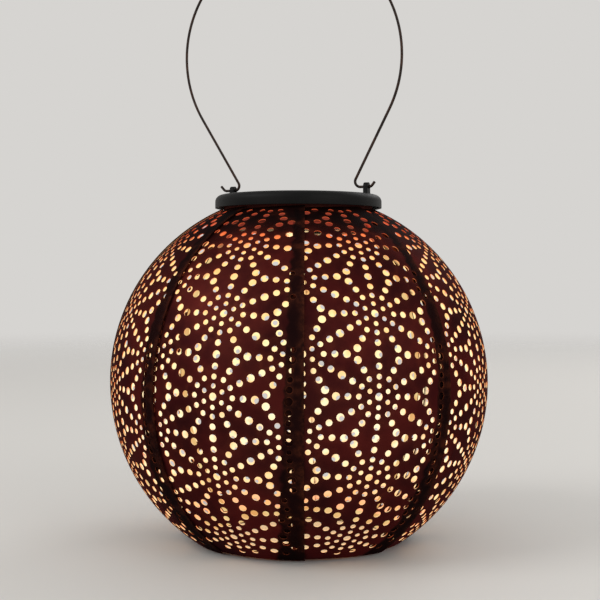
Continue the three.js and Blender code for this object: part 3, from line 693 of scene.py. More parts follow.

# %% [markdown]
# ## The copper
# Outside, the sheet is a dark antique copper: the photograph shows it almost black with a warm red where
# light grazes it. It is a metal, so its colour is in its reflections. Two clouds of noise darken it
# unevenly, a finer one varies the shine, and the punched lips and the sheet's edges are worn brighter.
# Three marks of light and shade are painted on the outside: a faint red emission for the lamp's light that
# comes through the thin sheet, a painted shade that darkens the band where two sheets lap, and a painted
# shade that darkens the sheet towards the cap. Inside, the lamp's light is painted as emission too: cream
# over most of the globe, red and orange near the top, where the cup keeps the light off. That glow depends
# on height alone, so it is worked out from the height. The wall of a hole is painted lit on the side that
# faces the lamp, and nothing is lit between two lapped sheets.

# %% Copper finishes
def outer_copper():
    finish = Finish("antique_copper", metallic=0.9, specular_tint=tone(128, 70, 60))
    cloud = finish.noise(22, 5, 0.6)
    speck = finish.noise(160, 3, 0.7)
    worn = finish.attribute("wear")
    seam = finish.attribute("over").band(0.4, 1.0).math("MAXIMUM", finish.attribute("under"))
    body = finish.mix(cloud.band(0.34, 0.68), tone(42, 15, 15), tone(74, 28, 24))
    tarnished = finish.mix(finish.noise(9, 3, 0.5).band(0.5, 0.72) * 0.55, body, tone(36, 18, 16))
    # Painted shade: the band where two sheets lap is painted nearly black, as no light comes through it.
    lapped = finish.mix(seam * (0.6 + cloud * 0.4), tarnished, tone(14, 10, 11))
    edge = (worn ** 2) * speck.band(0.3, 0.75)
    # Painted shade: the sheet is painted darker towards the cap, above the reach of the lamp's light.
    cap_shaded = finish.mix(finish.height().band(198 * MM, 214 * MM) * 0.85, lapped, tone(14, 11, 11))
    finish.set(base_color=finish.mix(edge * 0.5, cap_shaded, tone(150, 78, 50)))
    finish.set(roughness=0.45 + cloud * 0.14 + speck * 0.1 - edge * 0.08)
    # Painted light: a faint red emission stands for the lamp's light coming through the thin sheet; over the
    # laps and towards the cap it is painted out as shade.
    glow_through_sheet = finish.mix(finish.noise(30, 3, 0.5).band(0.35, 0.7), tone(28, 6, 8), tone(62, 12, 12))
    no_glow = seam.math("MAXIMUM", finish.height().band(190 * MM, 208 * MM))
    finish.set(emission_color=finish.mix(no_glow, glow_through_sheet, tone(8, 2, 2)), emission_strength=0.5)
    grain = finish.noise(1400, 2, 0.5) * 0.3 + finish.noise(60, 3, 0.5)
    return finish.bump(grain, 0.06 * MM, 0.6).material


def lit_copper():
    finish = Finish("lit_copper_inside", metallic=0.3, roughness=0.5, base_color=tone(120, 70, 48))
    # Painted light: the emission stands for the lamp's light on the inside of the sheet, graded by height
    # from cream to red and dark near the cup.
    wavy = finish.height() + (finish.noise(30, 2, 0.5) - 0.5) * (6 * MM)
    ramp = finish.node(
        "ShaderNodeValToRGB", None, {"Fac": (wavy - 10 * MM) / (215 * MM)}, output="Color"
    )
    stops = [
        (0.0, tone(250, 176, 130)),
        (0.07, tone(254, 226, 168)),
        (0.22, tone(255, 246, 206)),
        (0.6, tone(255, 241, 178)),
        (0.86, tone(254, 214, 140)),
        (0.905, tone(240, 120, 64)),
        (0.94, tone(186, 50, 34)),
        (1.0, tone(70, 22, 20)),
    ]
    colours = ramp.socket.node.color_ramp
    while len(colours.elements) < len(stops):
        colours.elements.new(1.0)
    for element, (position, colour) in zip(colours.elements, stops):
        element.position = position
        element.color = colour
    # Painted light: patches where the painted glow is warmer and more orange, left out near the top.
    warmer_glow = finish.noise(110, 2, 0.5).band(0.42, 0.7) * 0.6
    uneven = finish.mix(warmer_glow * (1 - finish.height().band(185 * MM, 200 * MM)), ramp, tone(244, 178, 96))
    hidden = finish.attribute("over")
    finish.set(emission_color=finish.mix(hidden, uneven, tone(18, 5, 4)), emission_strength=1.12)
    return finish.material


def hole_wall():
    finish = Finish("lit_hole_wall", metallic=0.7, base_color=tone(150, 76, 48))
    uneven = finish.noise(120, 2, 0.5)
    finish.set(roughness=0.4 + uneven * 0.2)
    # Painted light: the wall glows warm where it faces the lamp and dim red towards the cap, where the cup
    # keeps the light off; nothing glows between lapped sheets.
    glow = finish.mix(uneven.band(0.35, 0.7), tone(222, 128, 74), tone(250, 190, 128))
    lit = finish.mix(finish.facing_lamp().band(0.1, 0.6), glow, tone(255, 228, 168))
    near_cap = finish.mix(finish.height().band(184 * MM, 206 * MM), lit, tone(140, 42, 28))
    hidden = finish.attribute("over")
    finish.set(emission_color=finish.mix(hidden, near_cap, tone(20, 7, 5)), emission_strength=0.95)
    return finish.material


antique_copper = outer_copper()
first_panel = shade_panel([antique_copper, lit_copper(), hole_wall()])
for i, panel in enumerate(all_round(first_panel, "panel"), 1):
    hand_over(panel, "shade", "copper_sheet", None, f"shade_panel_{i}")

# %% [markdown]
# ## The frame behind the panels
# A rib of flat strip backs each seam and gives it something to be riveted to, a rolled ring stiffens the
# open bottom, and a collar at the top takes the light unit. The ribs and the ring follow the inside of
# the globe, so their sections are drawn from the globe's own radius. The ring and the collar are spun.
# A rib is a line as wide as the strip, turned about the globe's middle, as flat bar is bent.

# %% Ribs, base ring and collar
ring_height = 6 * MM
ring_lip = 5.5 * MM
ring_thickness = 1 * MM
collar_lip = 2.8 * MM
rib_steps = 48


def frame_copper():
    finish = Finish("frame_copper", metallic=0.85, specular_tint=tone(128, 70, 60))
    cloud = finish.noise(40, 4, 0.6)
    finish.set(base_color=finish.mix(cloud.band(0.35, 0.7), tone(50, 21, 17), tone(80, 36, 26)))
    finish.set(roughness=0.42 + cloud * 0.15)
    # Painted light and shade in the emission: faces turned from the lamp are painted dark, except a band of
    # red light on the collar's sleeve behind the top holes; faces turned to the lamp are painted cream low
    # in the globe and red higher up, darker up the collar's bore.
    height = finish.height()
    collar_glow = height.band(205 * MM, 213 * MM) * (1 - height.band(216.5 * MM, 218.5 * MM))
    shaded = finish.mix(collar_glow, tone(20, 6, 5), finish.mix(cloud, tone(150, 60, 44), tone(104, 52, 44)))
    cream = finish.mix(cloud.band(0.3, 0.7), tone(253, 226, 156), tone(232, 176, 104))
    up_the_bore = height.band(214 * MM, 224 * MM) * (0.6 + cloud * 0.5)
    bore = finish.mix(up_the_bore, tone(158, 64, 42), tone(58, 24, 20))
    lit = finish.mix(height.band(186 * MM, 204 * MM), cream, bore)
    seen = finish.mix(finish.facing_lamp().band(0.1, 0.4), shaded, lit)
    finish.set(emission_color=seen, emission_strength=0.85)
    return finish.bump(finish.noise(900, 2, 0.5), 0.03 * MM, 0.5).material


def on_sphere(radius, low, high, steps):
    span = [low + (high - low) * i / steps for i in range(steps + 1)]
    return [(math.sqrt(radius ** 2 - (z - globe_height) ** 2), z) for z in span]


def seam_rib():
    low = -math.asin((globe_height - ring_height - fit) / frame_radius)
    high = math.acos((sleeve_outer + collar_lip + fit) / frame_radius)
    rib = single_point((frame_radius, -rib_width / 2, 0))
    bpy.ops.mesh.extrude_region_move(TRANSFORM_OT_translate={"value": (0, rib_width, 0)})
    bpy.ops.mesh.select_all(action="SELECT")
    bpy.ops.mesh.spin(steps=rib_steps, angle=high - low, center=(0, 0, 0), axis=(0, 1, 0))
    bpy.ops.object.mode_set(mode="OBJECT")
    rib.data.transform(Matrix.Rotation(-low, 4, "Y"))
    rib.data.transform(Matrix.Translation(globe_middle))
    return settle(rib, "rib_1")


def face_outwards(strip):
    middle = strip.data.polygons[len(strip.data.polygons) // 2]
    if middle.normal.dot(middle.center - globe_middle) < 0:
        strip.data.flip_normals()
    return strip


copper_frame = frame_copper()
first_rib = face_outwards(seam_rib())
apply(first_rib, "SOLIDIFY", thickness=rib_thickness, offset=-1)
soften(first_rib, 0.2 * MM)
first_rib.data.transform(Matrix.Rotation(math.pi / panel_count, 4, "Z"))
for i, rib in enumerate(all_round(first_rib, "rib"), 1):
    hand_over(rib, "shade", "copper_frame", copper_frame, f"seam_rib_{i}")

foot = math.sqrt(frame_radius ** 2 - globe_height ** 2)
ring_profile = [(foot - ring_lip, 0), *on_sphere(frame_radius, 0, ring_height, 8)]
ring_profile += reversed(on_sphere(frame_radius - ring_thickness, ring_thickness, ring_height, 8))
ring_profile += [(foot - ring_lip, ring_thickness), (foot - ring_lip, 0)]
base_ring = soften(spun("ring", ring_profile, 128), 0.2 * MM)
hand_over(base_ring, "shade", "copper_frame", copper_frame, "base_ring")

collar_low, collar_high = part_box("top_collar")[0].z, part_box("top_collar")[1].z
lip_edge = sleeve_outer + collar_lip
lip_at = [globe_height + math.sqrt(frame_radius ** 2 - r ** 2) for r in (sleeve_outer, lip_edge)]
collar_profile = [
    (collar_bore, collar_low),
    (sleeve_outer, collar_low),
    (sleeve_outer, lip_at[0] - rib_thickness),
    (lip_edge, lip_at[1] - rib_thickness),
    (lip_edge, lip_at[1]),
    (sleeve_outer, lip_at[0]),
    (sleeve_outer, collar_high),
    (collar_bore, collar_high),
    (collar_bore, collar_low),
]
collar = soften(spun("collar", collar_profile, 112), 0.25 * MM)
hand_over(collar, "shade", "copper_frame", copper_frame, "top_collar")

# %% [markdown]
# ## The cap
# The cap is one black moulding: a low drum with a rounded top edge, a square well for the solar cell, two
# ears for the bail, and screw bosses under its ceiling. Spinning gives the drum. The well, the bores and
# the bosses are separate simple shapes that are cut out of it or joined to it, as a mould's cores are, and
# one small bevel at the end rounds every edge that a mould would round.

# %% Cap
cap_round = 4.5 * MM
cap_gap = 1.8 * MM
cap_bottom = globe_height + math.sqrt(globe_radius ** 2 - rim_inner ** 2) + cap_gap
cap_ceiling = cap_top - cap_wall
cell_low, cell_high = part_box("solar_cell")
well_half = cell_high.x + fit
well_floor = cell_low.z - fit
well_wall = 1.5 * MM
ear_offset = 48.9 * MM
ear_thickness = 3 * MM
ear_radius = 2.9 * MM
ear_bore = 1.3 * MM
cup_low, cup_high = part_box("light_housing")
cup_bottom, cup_top = cup_low.z, cup_high.z
cup_floor = cup_bottom + cup_wall
boss_radius = 3 * MM
pilot_radius = 1.5 * MM
screw_spots = [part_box(f"housing_screw_{i}") for i in (1, 2, 3)]
screw_spots = [((low.x + high.x) / 2, (low.y + high.y) / 2) for low, high in screw_spots]


def black_moulding(name):
    finish = Finish(name, specular_ior_level=0.12)
    cloud = finish.noise(60, 3, 0.5)
    fine = finish.noise(2200, 2, 0.5)
    finish.set(base_color=finish.mix(cloud.band(0.3, 0.75), tone(11, 11, 11), tone(18, 17, 17)))
    finish.set(roughness=0.42 + cloud * 0.12 + fine * 0.06)
    return finish.bump(fine, 0.02 * MM, 0.5)


def ear(side):
    near, far = side * ear_offset - ear_thickness / 2, side * ear_offset + ear_thickness / 2
    stalk_low = (near, -ear_radius, cap_top - cap_wall / 2)
    stalk = block("stalk", stalk_low, (far, ear_radius, hinge_height))
    eye = drum("eye", ear_radius, (near, 0, hinge_height), (far, 0, hinge_height), 48, along_x)
    return combine(stalk, eye, "UNION")


def cap_moulding():
    profile = [(0, cap_ceiling), (rim_inner, cap_ceiling), (rim_inner, cap_bottom), (cap_radius, cap_bottom)]
    profile += arc((cap_radius - cap_round, cap_top - cap_round), cap_round, 0, 90, 8)
    profile += [(0, cap_top)]
    cap = spun("cap", profile, 128)
    tray_half = well_half + well_wall
    tray_low = (-tray_half, -tray_half, well_floor - well_wall)
    in_top = cap_top - cap_wall / 2
    cap = combine(cap, block("tray", tray_low, (tray_half, tray_half, in_top)), "UNION")
    cap = at_spots(cap, "UNION", screw_spots, "boss", boss_radius, cup_floor + fit, in_top, 32)
    for side in (-1, 1):
        cap = combine(cap, ear(side), "UNION")
    well = block("well", (-well_half, -well_half, well_floor), (well_half, well_half, cap_top + 1 * MM))
    cap = combine(cap, well, "DIFFERENCE")
    for side in (-1, 1):
        low = (side * ear_offset - ear_thickness, 0, hinge_height)
        high = (side * ear_offset + ear_thickness, 0, hinge_height)
        cap = combine(cap, drum("bore", ear_bore, low, high, 40, along_x), "DIFFERENCE")
    low, high = cup_floor - 1 * MM, cap_ceiling - 1.5 * MM
    cap = at_spots(cap, "DIFFERENCE", screw_spots, "pilot", pilot_radius, low, high, 24)
    return soften(cap, 0.25 * MM, 2, 32)


black_plastic = black_moulding("black_moulding").material
hand_over(cap_moulding(), "light_unit", "black_plastic", black_plastic, "cap_housing")

# %% [markdown]
# ## The solar cell
# The cell lies in the cap's well under a clear resin plate. The silicon is nearly black with a blue
# cast, crossed by fine silver fingers and two wider bars that gather the current. Those lines are straight
# and evenly spaced, so they are worked out from the position on the cell: a ping-pong of X gives the
# distance to the nearest line. The plate is a cube with its upright edges rounded first and its rims after.

# %% Solar cell and its cover
def silicon():
    finish = Finish("silicon", roughness=0.25, specular_ior_level=0.3)
    finger_gap, bar_gap = 1.1 * MM, 13 * MM
    spread = {"Vector": finish.place(), "Scale": 260}
    crystal = finish.node("ShaderNodeTexVoronoi", None, spread, output="Color")
    grain = finish.node("ShaderNodeSeparateColor", None, {"Color": crystal}, output="Red")
    dark = finish.mix(grain * 0.4, tone(13, 17, 38), tone(26, 34, 70))
    finger = (1 - finish.along("X").math("PINGPONG", finger_gap).band(0.1 * MM, 0.4 * MM)) * 0.2
    bar = 1 - (finish.along("Y") - bar_gap).math("PINGPONG", bar_gap).band(0.5 * MM, 0.65 * MM)
    silver = finger.math("MAXIMUM", bar)
    finish.set(base_color=finish.mix(silver, dark, tone(150, 154, 160)), metallic=silver * 0.6)
    return finish.material


def clear_resin():
    finish = Finish("clear_resin", roughness=0.08, base_color=tone(56, 64, 72), ior=1.5)
    finish.set(alpha=0.07 + finish.noise(50, 2, 0.5) * 0.05, coat_weight=0.5)
    return finish.material


def cover_plate():
    low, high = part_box("cell_cover")
    plate = block("cover", low, high)
    edit_points(plate)
    bpy.ops.mesh.select_mode(type="EDGE")
    bpy.ops.mesh.select_all(action="DESELECT")
    bpy.ops.object.mode_set(mode="OBJECT")
    for edge in plate.data.edges:
        ends = [plate.data.vertices[v].co for v in edge.vertices]
        edge.select = abs(ends[0].z - ends[1].z) > MM
    bpy.ops.object.mode_set(mode="EDIT")
    bpy.ops.mesh.bevel(offset=2 * MM, segments=8, affect="EDGES")
    bpy.ops.object.mode_set(mode="OBJECT")
    return soften(plate, 0.3 * MM, 3, 50)


solar_cell = frame["nodes"]["solar_cell"]
solar_cell.data.materials.clear()
solar_cell.data.materials.append(silicon())
hand_over(cover_plate(), "light_unit", "clear_cover", clear_resin(), "cell_cover")

# %% [markdown]
# ## The cup of the light unit
# The cup hangs inside the collar. Its floor carries everything: the battery's opening, the slot for the
# switch, the lamp's hole and three screws. Six guide ribs on its wall centre it in the collar. Seen from
# below it is the most mechanical face of the lantern, so its openings are really cut, and each edge is
# softened as a moulded edge is. Under the collar its side wall catches a little red light off the copper
# round it, and the finish finds that strip by its height and its distance from the lantern's axis.

# %% Cup
battery_low, battery_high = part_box("battery")
battery_offset = (battery_low.y + battery_high.y) / 2
battery_radius = (battery_high.y - battery_low.y) / 2
door_low, door_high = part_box("battery_door")
door_lip = 1.8 * MM
opening_half = (door_high.x - door_low.x) / 2 - door_lip
opening_reach = (door_high.y - door_low.y) / 2 - door_lip
knob_low, knob_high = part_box("switch_knob")
switch_travel = joints["switch_slide"]["range_m"][1]
board_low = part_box("circuit_board")[0]
post_spots = [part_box(f"board_screw_{i}") for i in (1, 2)]
post_spots = [((low.x + high.x) / 2, (low.y + high.y) / 2) for low, high in post_spots]
flange_bottom = cup_top - cup_wall
flange_room = 2 * MM
flange_radius = rim_inner - flange_room
guide_count = 6
guide_width = 3 * MM
post_radius = 2.5 * MM
post_pilot = 1.2 * MM
lamp_hole = 3.1 * MM
screw_hole = 1.5 * MM
holder_half = 28.4 * MM
holder_wall = 1.5 * MM
contact_height = 11 * MM


def cup_plastic():
    finish = black_moulding("cup_moulding")
    flat = finish.node("ShaderNodeMapping", None, {"Vector": finish.place(), "Scale": (1, 1, 0)})
    from_axis = finish.vector("LENGTH", flat, output="Value")
    side_wall = from_axis.band(cup_outer - 2.2 * MM, cup_outer - 1.4 * MM)
    below_collar = 1 - finish.height().band(collar_low - 2 * MM, collar_low + 0.5 * MM)
    patch = finish.noise(45, 3, 0.5).band(0.3, 0.7)
    reflected = finish.mix(patch, tone(104, 33, 25), tone(156, 58, 42))
    glow = finish.mix(side_wall * below_collar, tone(0, 0, 0), reflected)
    finish.set(emission_color=glow, emission_strength=0.9)
    return finish.material


def cup_shell():
    chamfer = 1.5 * MM
    profile = [(0, cup_bottom), (cup_outer - chamfer, cup_bottom), (cup_outer, cup_bottom + chamfer)]
    profile += [(cup_outer, flange_bottom), (flange_radius, flange_bottom), (flange_radius, cup_top)]
    profile += [(cup_inner, cup_top), (cup_inner, cup_floor), (0, cup_floor)]
    return spun("cup", profile, 112)


def guide_rib(number):
    low = (cup_outer - cup_wall / 2, -guide_width / 2, collar_low)
    guide = block("guide", low, (collar_bore - 2 * fit, guide_width / 2, flange_bottom + cup_wall / 2))
    guide.data.transform(Matrix.Rotation((number + 0.5) * 2 * math.pi / guide_count, 4, "Z"))
    return guide


def cup_moulding():
    cup = cup_shell()
    for number in range(guide_count):
        cup = combine(cup, guide_rib(number), "UNION")
    footing = cup_floor - cup_wall / 2
    front, back = battery_offset - opening_reach, battery_offset + opening_reach
    for side in (-1, 1):
        ends = sorted((side * holder_half, side * (holder_half + holder_wall)))
        holder = block("holder", (ends[0], front, footing), (ends[1], back, cup_floor + contact_height))
        cup = combine(cup, holder, "UNION")
    cup = at_spots(cup, "UNION", post_spots, "post", post_radius, footing, board_low.z - fit, 32)
    below, above = cup_bottom - 1 * MM, cup_floor + 0.5 * MM
    low, high = (-opening_half, front, below), (opening_half, back, above)
    cup = combine(cup, block("opening", low, high), "DIFFERENCE")
    slot_low = (knob_low.x - fit, knob_low.y - fit, below)
    slot_high = (knob_high.x + switch_travel + fit, knob_high.y + fit, above)
    cup = combine(cup, block("slot", slot_low, slot_high), "DIFFERENCE")
    cup = at_spots(cup, "DIFFERENCE", [(0, 0)], "lamp_hole", lamp_hole, below, above, 40)
    cup = at_spots(cup, "DIFFERENCE", screw_spots, "screw_hole", screw_hole, below, above, 24)
    cup = at_spots(cup, "DIFFERENCE", post_spots, "pilot", post_pilot, above, board_low.z + 1 * MM, 20)
    return soften(cup, 0.2 * MM, 2, 40)


hand_over(cup_moulding(), "light_unit", "black_plastic", cup_plastic(), "light_housing")

# %% [markdown]
# ## Lamp and lens
# One warm white lamp hangs through the cup's floor, inside a small clear dome that spreads its light. Both
# are turned shapes. The lamp is lit: its dome glows, and the inside of the lens carries a little of that
# light, so the dome reads as a lens and not as a hole.

# %% Lamp and lens
led_low, led_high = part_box("led")
lens_low, lens_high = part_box("led_lens")
led_radius = 2.5 * MM
led_flange = 0.4 * MM
led_foot = led_high.z - 1 * MM
lens_radius = 8.5 * MM
lens_wall = 1.2 * MM


def lit_lamp():
    finish = Finish("lit_lamp", roughness=0.15, base_color=tone(250, 236, 196))
    warmth = finish.height().band(led_low.z, led_high.z)
    glow = finish.mix(warmth, tone(255, 250, 226), tone(255, 214, 130))
    finish.set(emission_color=glow, emission_strength=5.0)
    return finish.material


def clear_dome():
    finish = Finish("clear_dome", roughness=0.12, base_color=tone(244, 238, 226), ior=1.49)
    finish.set(emission_color=tone(255, 232, 178), emission_strength=0.5)
    finish.set(alpha=0.38 + finish.noise(140, 2, 0.5) * 0.12)
    return finish.material


led_profile = arc((0, led_low.z + led_radius), led_radius, -90, 0, 10)
led_profile[0] = (0, led_low.z)
led_profile += [(led_radius, led_foot), (led_radius + led_flange, led_foot)]
led_profile += [(led_radius + led_flange, led_high.z), (0, led_high.z)]
lamp = soften(spun("lamp", led_profile, 48), 0.1 * MM)
hand_over(lamp, "light_unit", "led_body", lit_lamp(), "led")

lens_depth = lens_high.z - lens_low.z


def dome_arc(radius, depth, steps=14):
    angles = [math.pi / 2 * i / steps for i in range(steps + 1)]
    return [(radius * math.sin(a), lens_high.z - depth * math.cos(a)) for a in angles]


outer_dome = dome_arc(lens_radius, lens_depth)
inner_dome = dome_arc(lens_radius - lens_wall, lens_depth - lens_wall)
lens = soften(spun("lens", outer_dome + inner_dome[::-1], 72), 0.15 * MM)
hand_over(lens, "light_unit", "clear_lens", clear_dome(), "led_lens")

# %% [markdown]
# ## Screws
# Small pan-head screws with a cross recess hold the cup to the cap and the board to its posts. One
# profile turns the head and the shank, two thin blocks cut the cross, and the copies are moved in their
# meshes. The steel is bright, with a fine speckle.

# %% Screws
def pan_screw(name, spot, low, high, head, head_height, shank, head_down):
    bend = head_height * 0.6
    if head_down:
        profile = [(0, low)] + arc((head - bend, low + bend), bend, -90, 0, 5)
        profile += [(head, low + head_height), (shank, low + head_height), (shank, high - shank), (0, high)]
    else:
        profile = [(0, low), (shank, low + shank), (shank, high - head_height), (head, high - head_height)]
        profile += arc((head - bend, high - bend), bend, 0, 90, 5) + [(0, high)]
    screw = spun(name, profile, 40, spot)
    face = low if head_down else high
    long, thin, deep = head * 0.62, head * 0.13, head_height * 0.6
    for half_x, half_y in ((long, thin), (thin, long)):
        corner = Vector((half_x, half_y, deep))
        middle = Vector((*spot, face))
        screw = combine(screw, block("cross", middle - corner, middle + corner), "DIFFERENCE")
    return soften(screw, 0.06 * MM, 2, 40)


steel = speckled("bright_steel", tone(150, 149, 146), tone(206, 205, 200), 0.24, 900, 0.16, metallic=1.0)
housing_size = {"head": 2.6 * MM, "head_height": 1.6 * MM, "shank": 1.2 * MM, "head_down": True}
board_size = {"head": 1.7 * MM, "head_height": 1.2 * MM, "shank": 0.9 * MM, "head_down": False}
for node, label, spots, size in (
    ("housing_screw", "cup_screw", screw_spots, housing_size),
    ("board_screw", "post_screw", post_spots, board_size),
):
    for i, spot in enumerate(spots, 1):
        low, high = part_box(f"{node}_{i}")
        screw = pan_screw(f"{label}_{i}", spot, low.z, high.z, **size)
        hand_over(screw, "light_unit", "bright_steel", steel, f"{node}_{i}")

# %% [markdown]
# ## Battery door and switch
# The door is a flat plate with a plug that fills the opening and a hollow for a fingernail in its front
# edge. The switch knob is a small ribbed slider. Both are moving parts, so each rides on its own body.

# %% Battery door and switch knob
door_thickness = 1.2 * MM
groove_pitch = 1.2 * MM
groove_radius = 0.4 * MM


def door():
    lip_top = door_low.z + door_thickness
    plate = block("door", door_low, (door_high.x, door_high.y, lip_top))
    plug_low = (-opening_half + fit, battery_offset - opening_reach + fit, lip_top - door_thickness / 2)
    plug_high = (opening_half - fit, battery_offset + opening_reach - fit, door_high.z)
    plate = combine(plate, block("plug", plug_low, plug_high), "UNION")
    notch_radius, notch_depth, notch_half = 3 * MM, 0.8 * MM, 6 * MM
    notch_z = door_low.z + notch_depth - notch_radius
    ends = (-notch_half, door_low.y, notch_z), (notch_half, door_low.y, notch_z)
    plate = combine(plate, drum("notch", notch_radius, *ends, 40, along_x), "DIFFERENCE")
    return soften(plate, 0.25 * MM, 3, 40)


def slider():
    knob = block("knob", knob_low, knob_high)
    middle = (knob_low.x + knob_high.x) / 2
    for i in (-1, 0, 1):
        x = middle + i * groove_pitch
        ends = (x, knob_low.y - MM, knob_low.z), (x, knob_high.y + MM, knob_low.z)
        knob = combine(knob, drum("groove", groove_radius, *ends, 24, along_y), "DIFFERENCE")
    return soften(knob, 0.12 * MM, 2, 40)


grey_plastic = speckled("grey_moulding", tone(186, 186, 182), tone(206, 206, 202), 0.42, 700)
hand_over(door(), "battery_door", "black_plastic", black_plastic, "battery_door")
hand_over(slider(), "switch_knob", "grey_plastic", grey_plastic, "switch_knob")

# %% [markdown]
# ## The bail
# The handle is one round wire, bent in a plane: a big loop, two straight legs that draw in to a waist, a
# tight bend into each ear, and a tip turned up outside it so that it can't slip out. A wire is bent by
# running it straight and turning it round a pin, and the mesh is made just so: a circle is extruded for
# each straight run and spun round each bend's centre. Half is made, and a mirror gives the rest. The whole
# loop leans a little to one side in its ears, as in the photograph.

# %% Bail
wire_radius = 0.9 * MM
wire_sides = 16
loop_radius = 79 * MM
loop_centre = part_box("bail")[1].z - hinge_height - loop_radius - wire_radius
waist_half = 42.6 * MM
waist_bend = 3.5 * MM
tip_bend = 2.8 * MM
tip_angle = math.radians(50)
tip_length = 3 * MM
bail_lean = -0.049
bail_shift = -1.6 * MM


def run(direction, length):
    step = (direction[0] * length, 0, direction[1] * length)
    bpy.ops.mesh.extrude_region_move(TRANSFORM_OT_translate={"value": step})


def turn(centre, angle, steps):
    spot = (centre[0], 0, centre[1])
    bpy.ops.mesh.spin(steps=steps, angle=abs(angle), center=spot, axis=(0, -math.copysign(1, angle), 0))


def half_bail():
    waist = (waist_half + waist_bend, waist_bend)
    rise = loop_centre - waist_bend
    apart = math.hypot(waist[0], rise)
    reach = loop_radius + waist_bend
    heading = math.atan2(rise, -waist[0]) - math.asin(reach / apart)
    tip_start = ear_offset + ear_thickness / 2 + abs(bail_shift) + fit
    bpy.ops.object.select_all(action="DESELECT")
    top = (0, 0, loop_centre + loop_radius)
    bpy.ops.mesh.primitive_circle_add(
        vertices=wire_sides, radius=wire_radius, location=top, rotation=along_x
    )
    wire = settle(bpy.context.object, "bail_wire")
    edit_points(wire)
    turn((0, loop_centre), math.pi - heading, 48)
    run((-math.cos(heading), -math.sin(heading)), math.sqrt(apart ** 2 - reach ** 2))
    turn(waist, heading - math.pi, 20)
    run((1, 0), tip_start - waist[0])
    turn((tip_start, tip_bend), -tip_angle, 12)
    run((math.cos(tip_angle), math.sin(tip_angle)), tip_length)
    bpy.ops.mesh.edge_face_add()
    bpy.ops.object.mode_set(mode="OBJECT")
    return wire


def bail_loop():
    wire = apply(half_bail(), "MIRROR", use_axis=(True, False, False), merge_threshold=MM / 100)
    wire.data.transform(Matrix.Translation((0, 0, hinge_height)))
    lean = Matrix.Identity(4)
    lean[0][2] = bail_lean
    lean[0][3] = bail_shift - bail_lean * hinge_height
    wire.data.transform(lean)
    edit_points(wire)
    close_seam()
    return soften(wire, 0.25 * MM, 2, 60)


def dark_wire():
    finish = Finish("dark_wire", metallic=0.85)
    patch = finish.noise(90, 4, 0.6)
    drawn = finish.noise(500, 2, 0.5, stretch=(1, 1, 0.05))
    finish.set(base_color=finish.mix(patch.band(0.4, 0.72), tone(44, 37, 34), tone(74, 52, 42)))
    finish.set(roughness=0.36 + patch * 0.12 + drawn * 0.06)
    return finish.bump(drawn, 0.006 * MM, 0.4).material


hand_over(bail_loop(), "bail", "bail_wire", dark_wire(), "bail")

# %% [markdown]
# ## Inside the light unit
# The battery shows when its door is off, so it gets its real outline: a sleeve, a crimped shoulder and a
# small positive cap. The spring is a helix that narrows towards the cell, drawn as a curve by its formula.

# %% Battery and contacts
def battery_cell():
    length = battery_high.x - battery_low.x
    nub, nub_radius, shoulder = 1.4 * MM, 2.7 * MM, 0.8 * MM
    body = length - nub
    profile = [(0, 0), (battery_radius - shoulder, 0)]
    profile += arc((battery_radius - shoulder, shoulder), shoulder, -90, 0, 5)[1:]
    profile += arc((battery_radius - shoulder, body - shoulder), shoulder, 0, 90, 5)
    profile += [(nub_radius + 0.6 * MM, body), (nub_radius + 0.3 * MM, body - 0.3 * MM)]
    profile += [(nub_radius, body), (nub_radius, length - 0.4 * MM)]
    profile += [(nub_radius - 0.4 * MM, length), (0, length)]
    cell = spun("battery_cell", profile, 64)
    cell.data.transform(Matrix.Rotation(math.pi / 2, 4, "Y"))
    middle = (battery_low.z + battery_high.z) / 2
    cell.data.transform(Matrix.Translation((battery_low.x, battery_offset, middle)))
    return smooth(cell, 40)


def battery_sleeve():
    finish = Finish("battery_sleeve", roughness=0.3)
    along = finish.along("X")
    bare = (battery_low.x + 0.7 * MM - along).band(0, 0.1 * MM)
    bare = bare.math("MAXIMUM", (along - (battery_high.x - 2.1 * MM)).band(0, 0.1 * MM))
    band = (along - (battery_high.x - 9 * MM)).band(0, 0.1 * MM)
    sleeve = finish.mix(band, tone(54, 120, 76), tone(222, 222, 214))
    finish.set(base_color=finish.mix(bare, sleeve, tone(190, 188, 182)), metallic=bare * 0.9)
    return finish.material


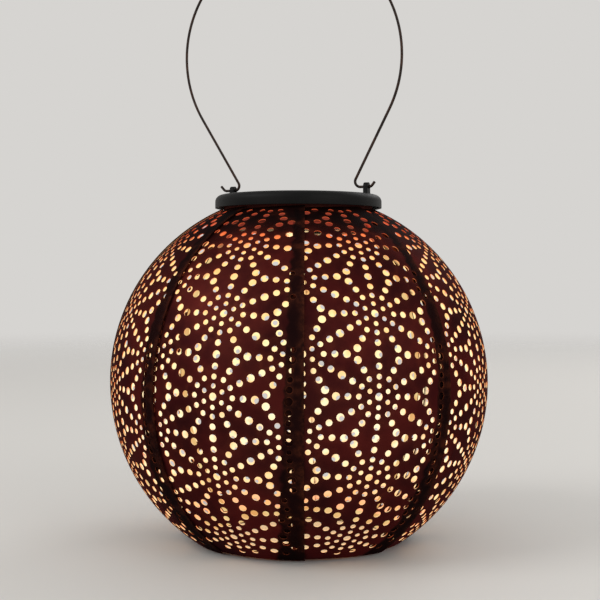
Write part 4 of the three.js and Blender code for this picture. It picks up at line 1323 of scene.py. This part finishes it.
def contact_spring():
    plate_low, plate_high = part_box("contact_plate")
    spring_low, spring_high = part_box("contact_spring")
    thickness = plate_high.x - plate_low.x
    low = (spring_low.x, plate_low.y, plate_low.z)
    plate = block("spring", low, (spring_low.x + thickness, plate_high.y, plate_high.z))
    thick, turns, steps = 0.35 * MM, 3.5, 24
    wide, narrow = 4 * MM, 2.6 * MM
    start, end = low[0] + thickness - thick / 2, spring_high.x - thick
    middle = (battery_low.z + battery_high.z) / 2
    curve = bpy.data.curves.new("helix", "CURVE")
    curve.dimensions = "3D"
    curve.bevel_depth = thick
    curve.bevel_resolution = 2
    curve.use_fill_caps = True
    line = curve.splines.new("POLY")
    count = int(turns * steps)
    line.points.add(count)
    for i, point in enumerate(line.points):
        share = i / count
        a = 2 * math.pi * turns * share
        radius = wide + (narrow - wide) * share
        x = start + (end - start) * share
        point.co = (x, battery_offset + radius * math.cos(a), middle + radius * math.sin(a), 1)
    helix = bpy.data.objects.new("helix", curve)
    bpy.context.scene.collection.objects.link(helix)
    only(helix)
    bpy.ops.object.convert(target="MESH")
    coil = smooth(bpy.context.object, 50)
    soften(plate, 0.1 * MM)
    only(plate)
    coil.select_set(True)
    bpy.ops.object.join()
    return plate


hand_over(battery_cell(), "light_unit", "battery_sleeve", battery_sleeve(), "battery")
hand_over(contact_spring(), "light_unit", "bright_steel", steel, "contact_spring")

# %% [markdown]
# ## The parts that stay
# The board, what is on it, the plain contact, the switch's body and the leads keep the frame's own shapes
# and get a finish each. The leads share two: red and black insulation.

# %% Finishes of the parts that stay
def green_board():
    finish = Finish("green_board", roughness=0.4)
    weave = finish.noise(800, 2, 0.5, stretch=(1, 0.2, 1))
    traces = finish.noise(160, 1, 0.3, stretch=(1, 0.3, 1)).band(0.56, 0.58)
    base = finish.mix(weave.band(0.3, 0.7), tone(24, 86, 50), tone(34, 104, 62))
    finish.set(base_color=finish.mix(traces * 0.5, base, tone(64, 136, 82)))
    return finish.material


kept = {
    "circuit_board": green_board(),
    "contact_plate": steel,
    "boost_coil": speckled("ferrite", tone(38, 38, 40), tone(54, 53, 52), 0.4),
    "control_chip": speckled("chip_epoxy", tone(26, 26, 28), tone(38, 38, 40), 0.5, 900),
    "switch_body": speckled("switch_shell", tone(34, 34, 36), tone(48, 48, 50), 0.4, 400),
}
red_cover = speckled("red_cover", tone(160, 30, 24), tone(184, 46, 36), 0.4)
black_cover = speckled("black_cover", tone(20, 20, 20), tone(32, 32, 32), 0.4)
for source in ("cell", "battery"):
    kept[f"{source}_lead_red"] = red_cover
    kept[f"{source}_lead_black"] = black_cover
for node, finish in kept.items():
    frame["nodes"][node].data.materials.clear()
    frame["nodes"][node].data.materials.append(finish)
print(len(kept), "parts keep their shape and get a finish")
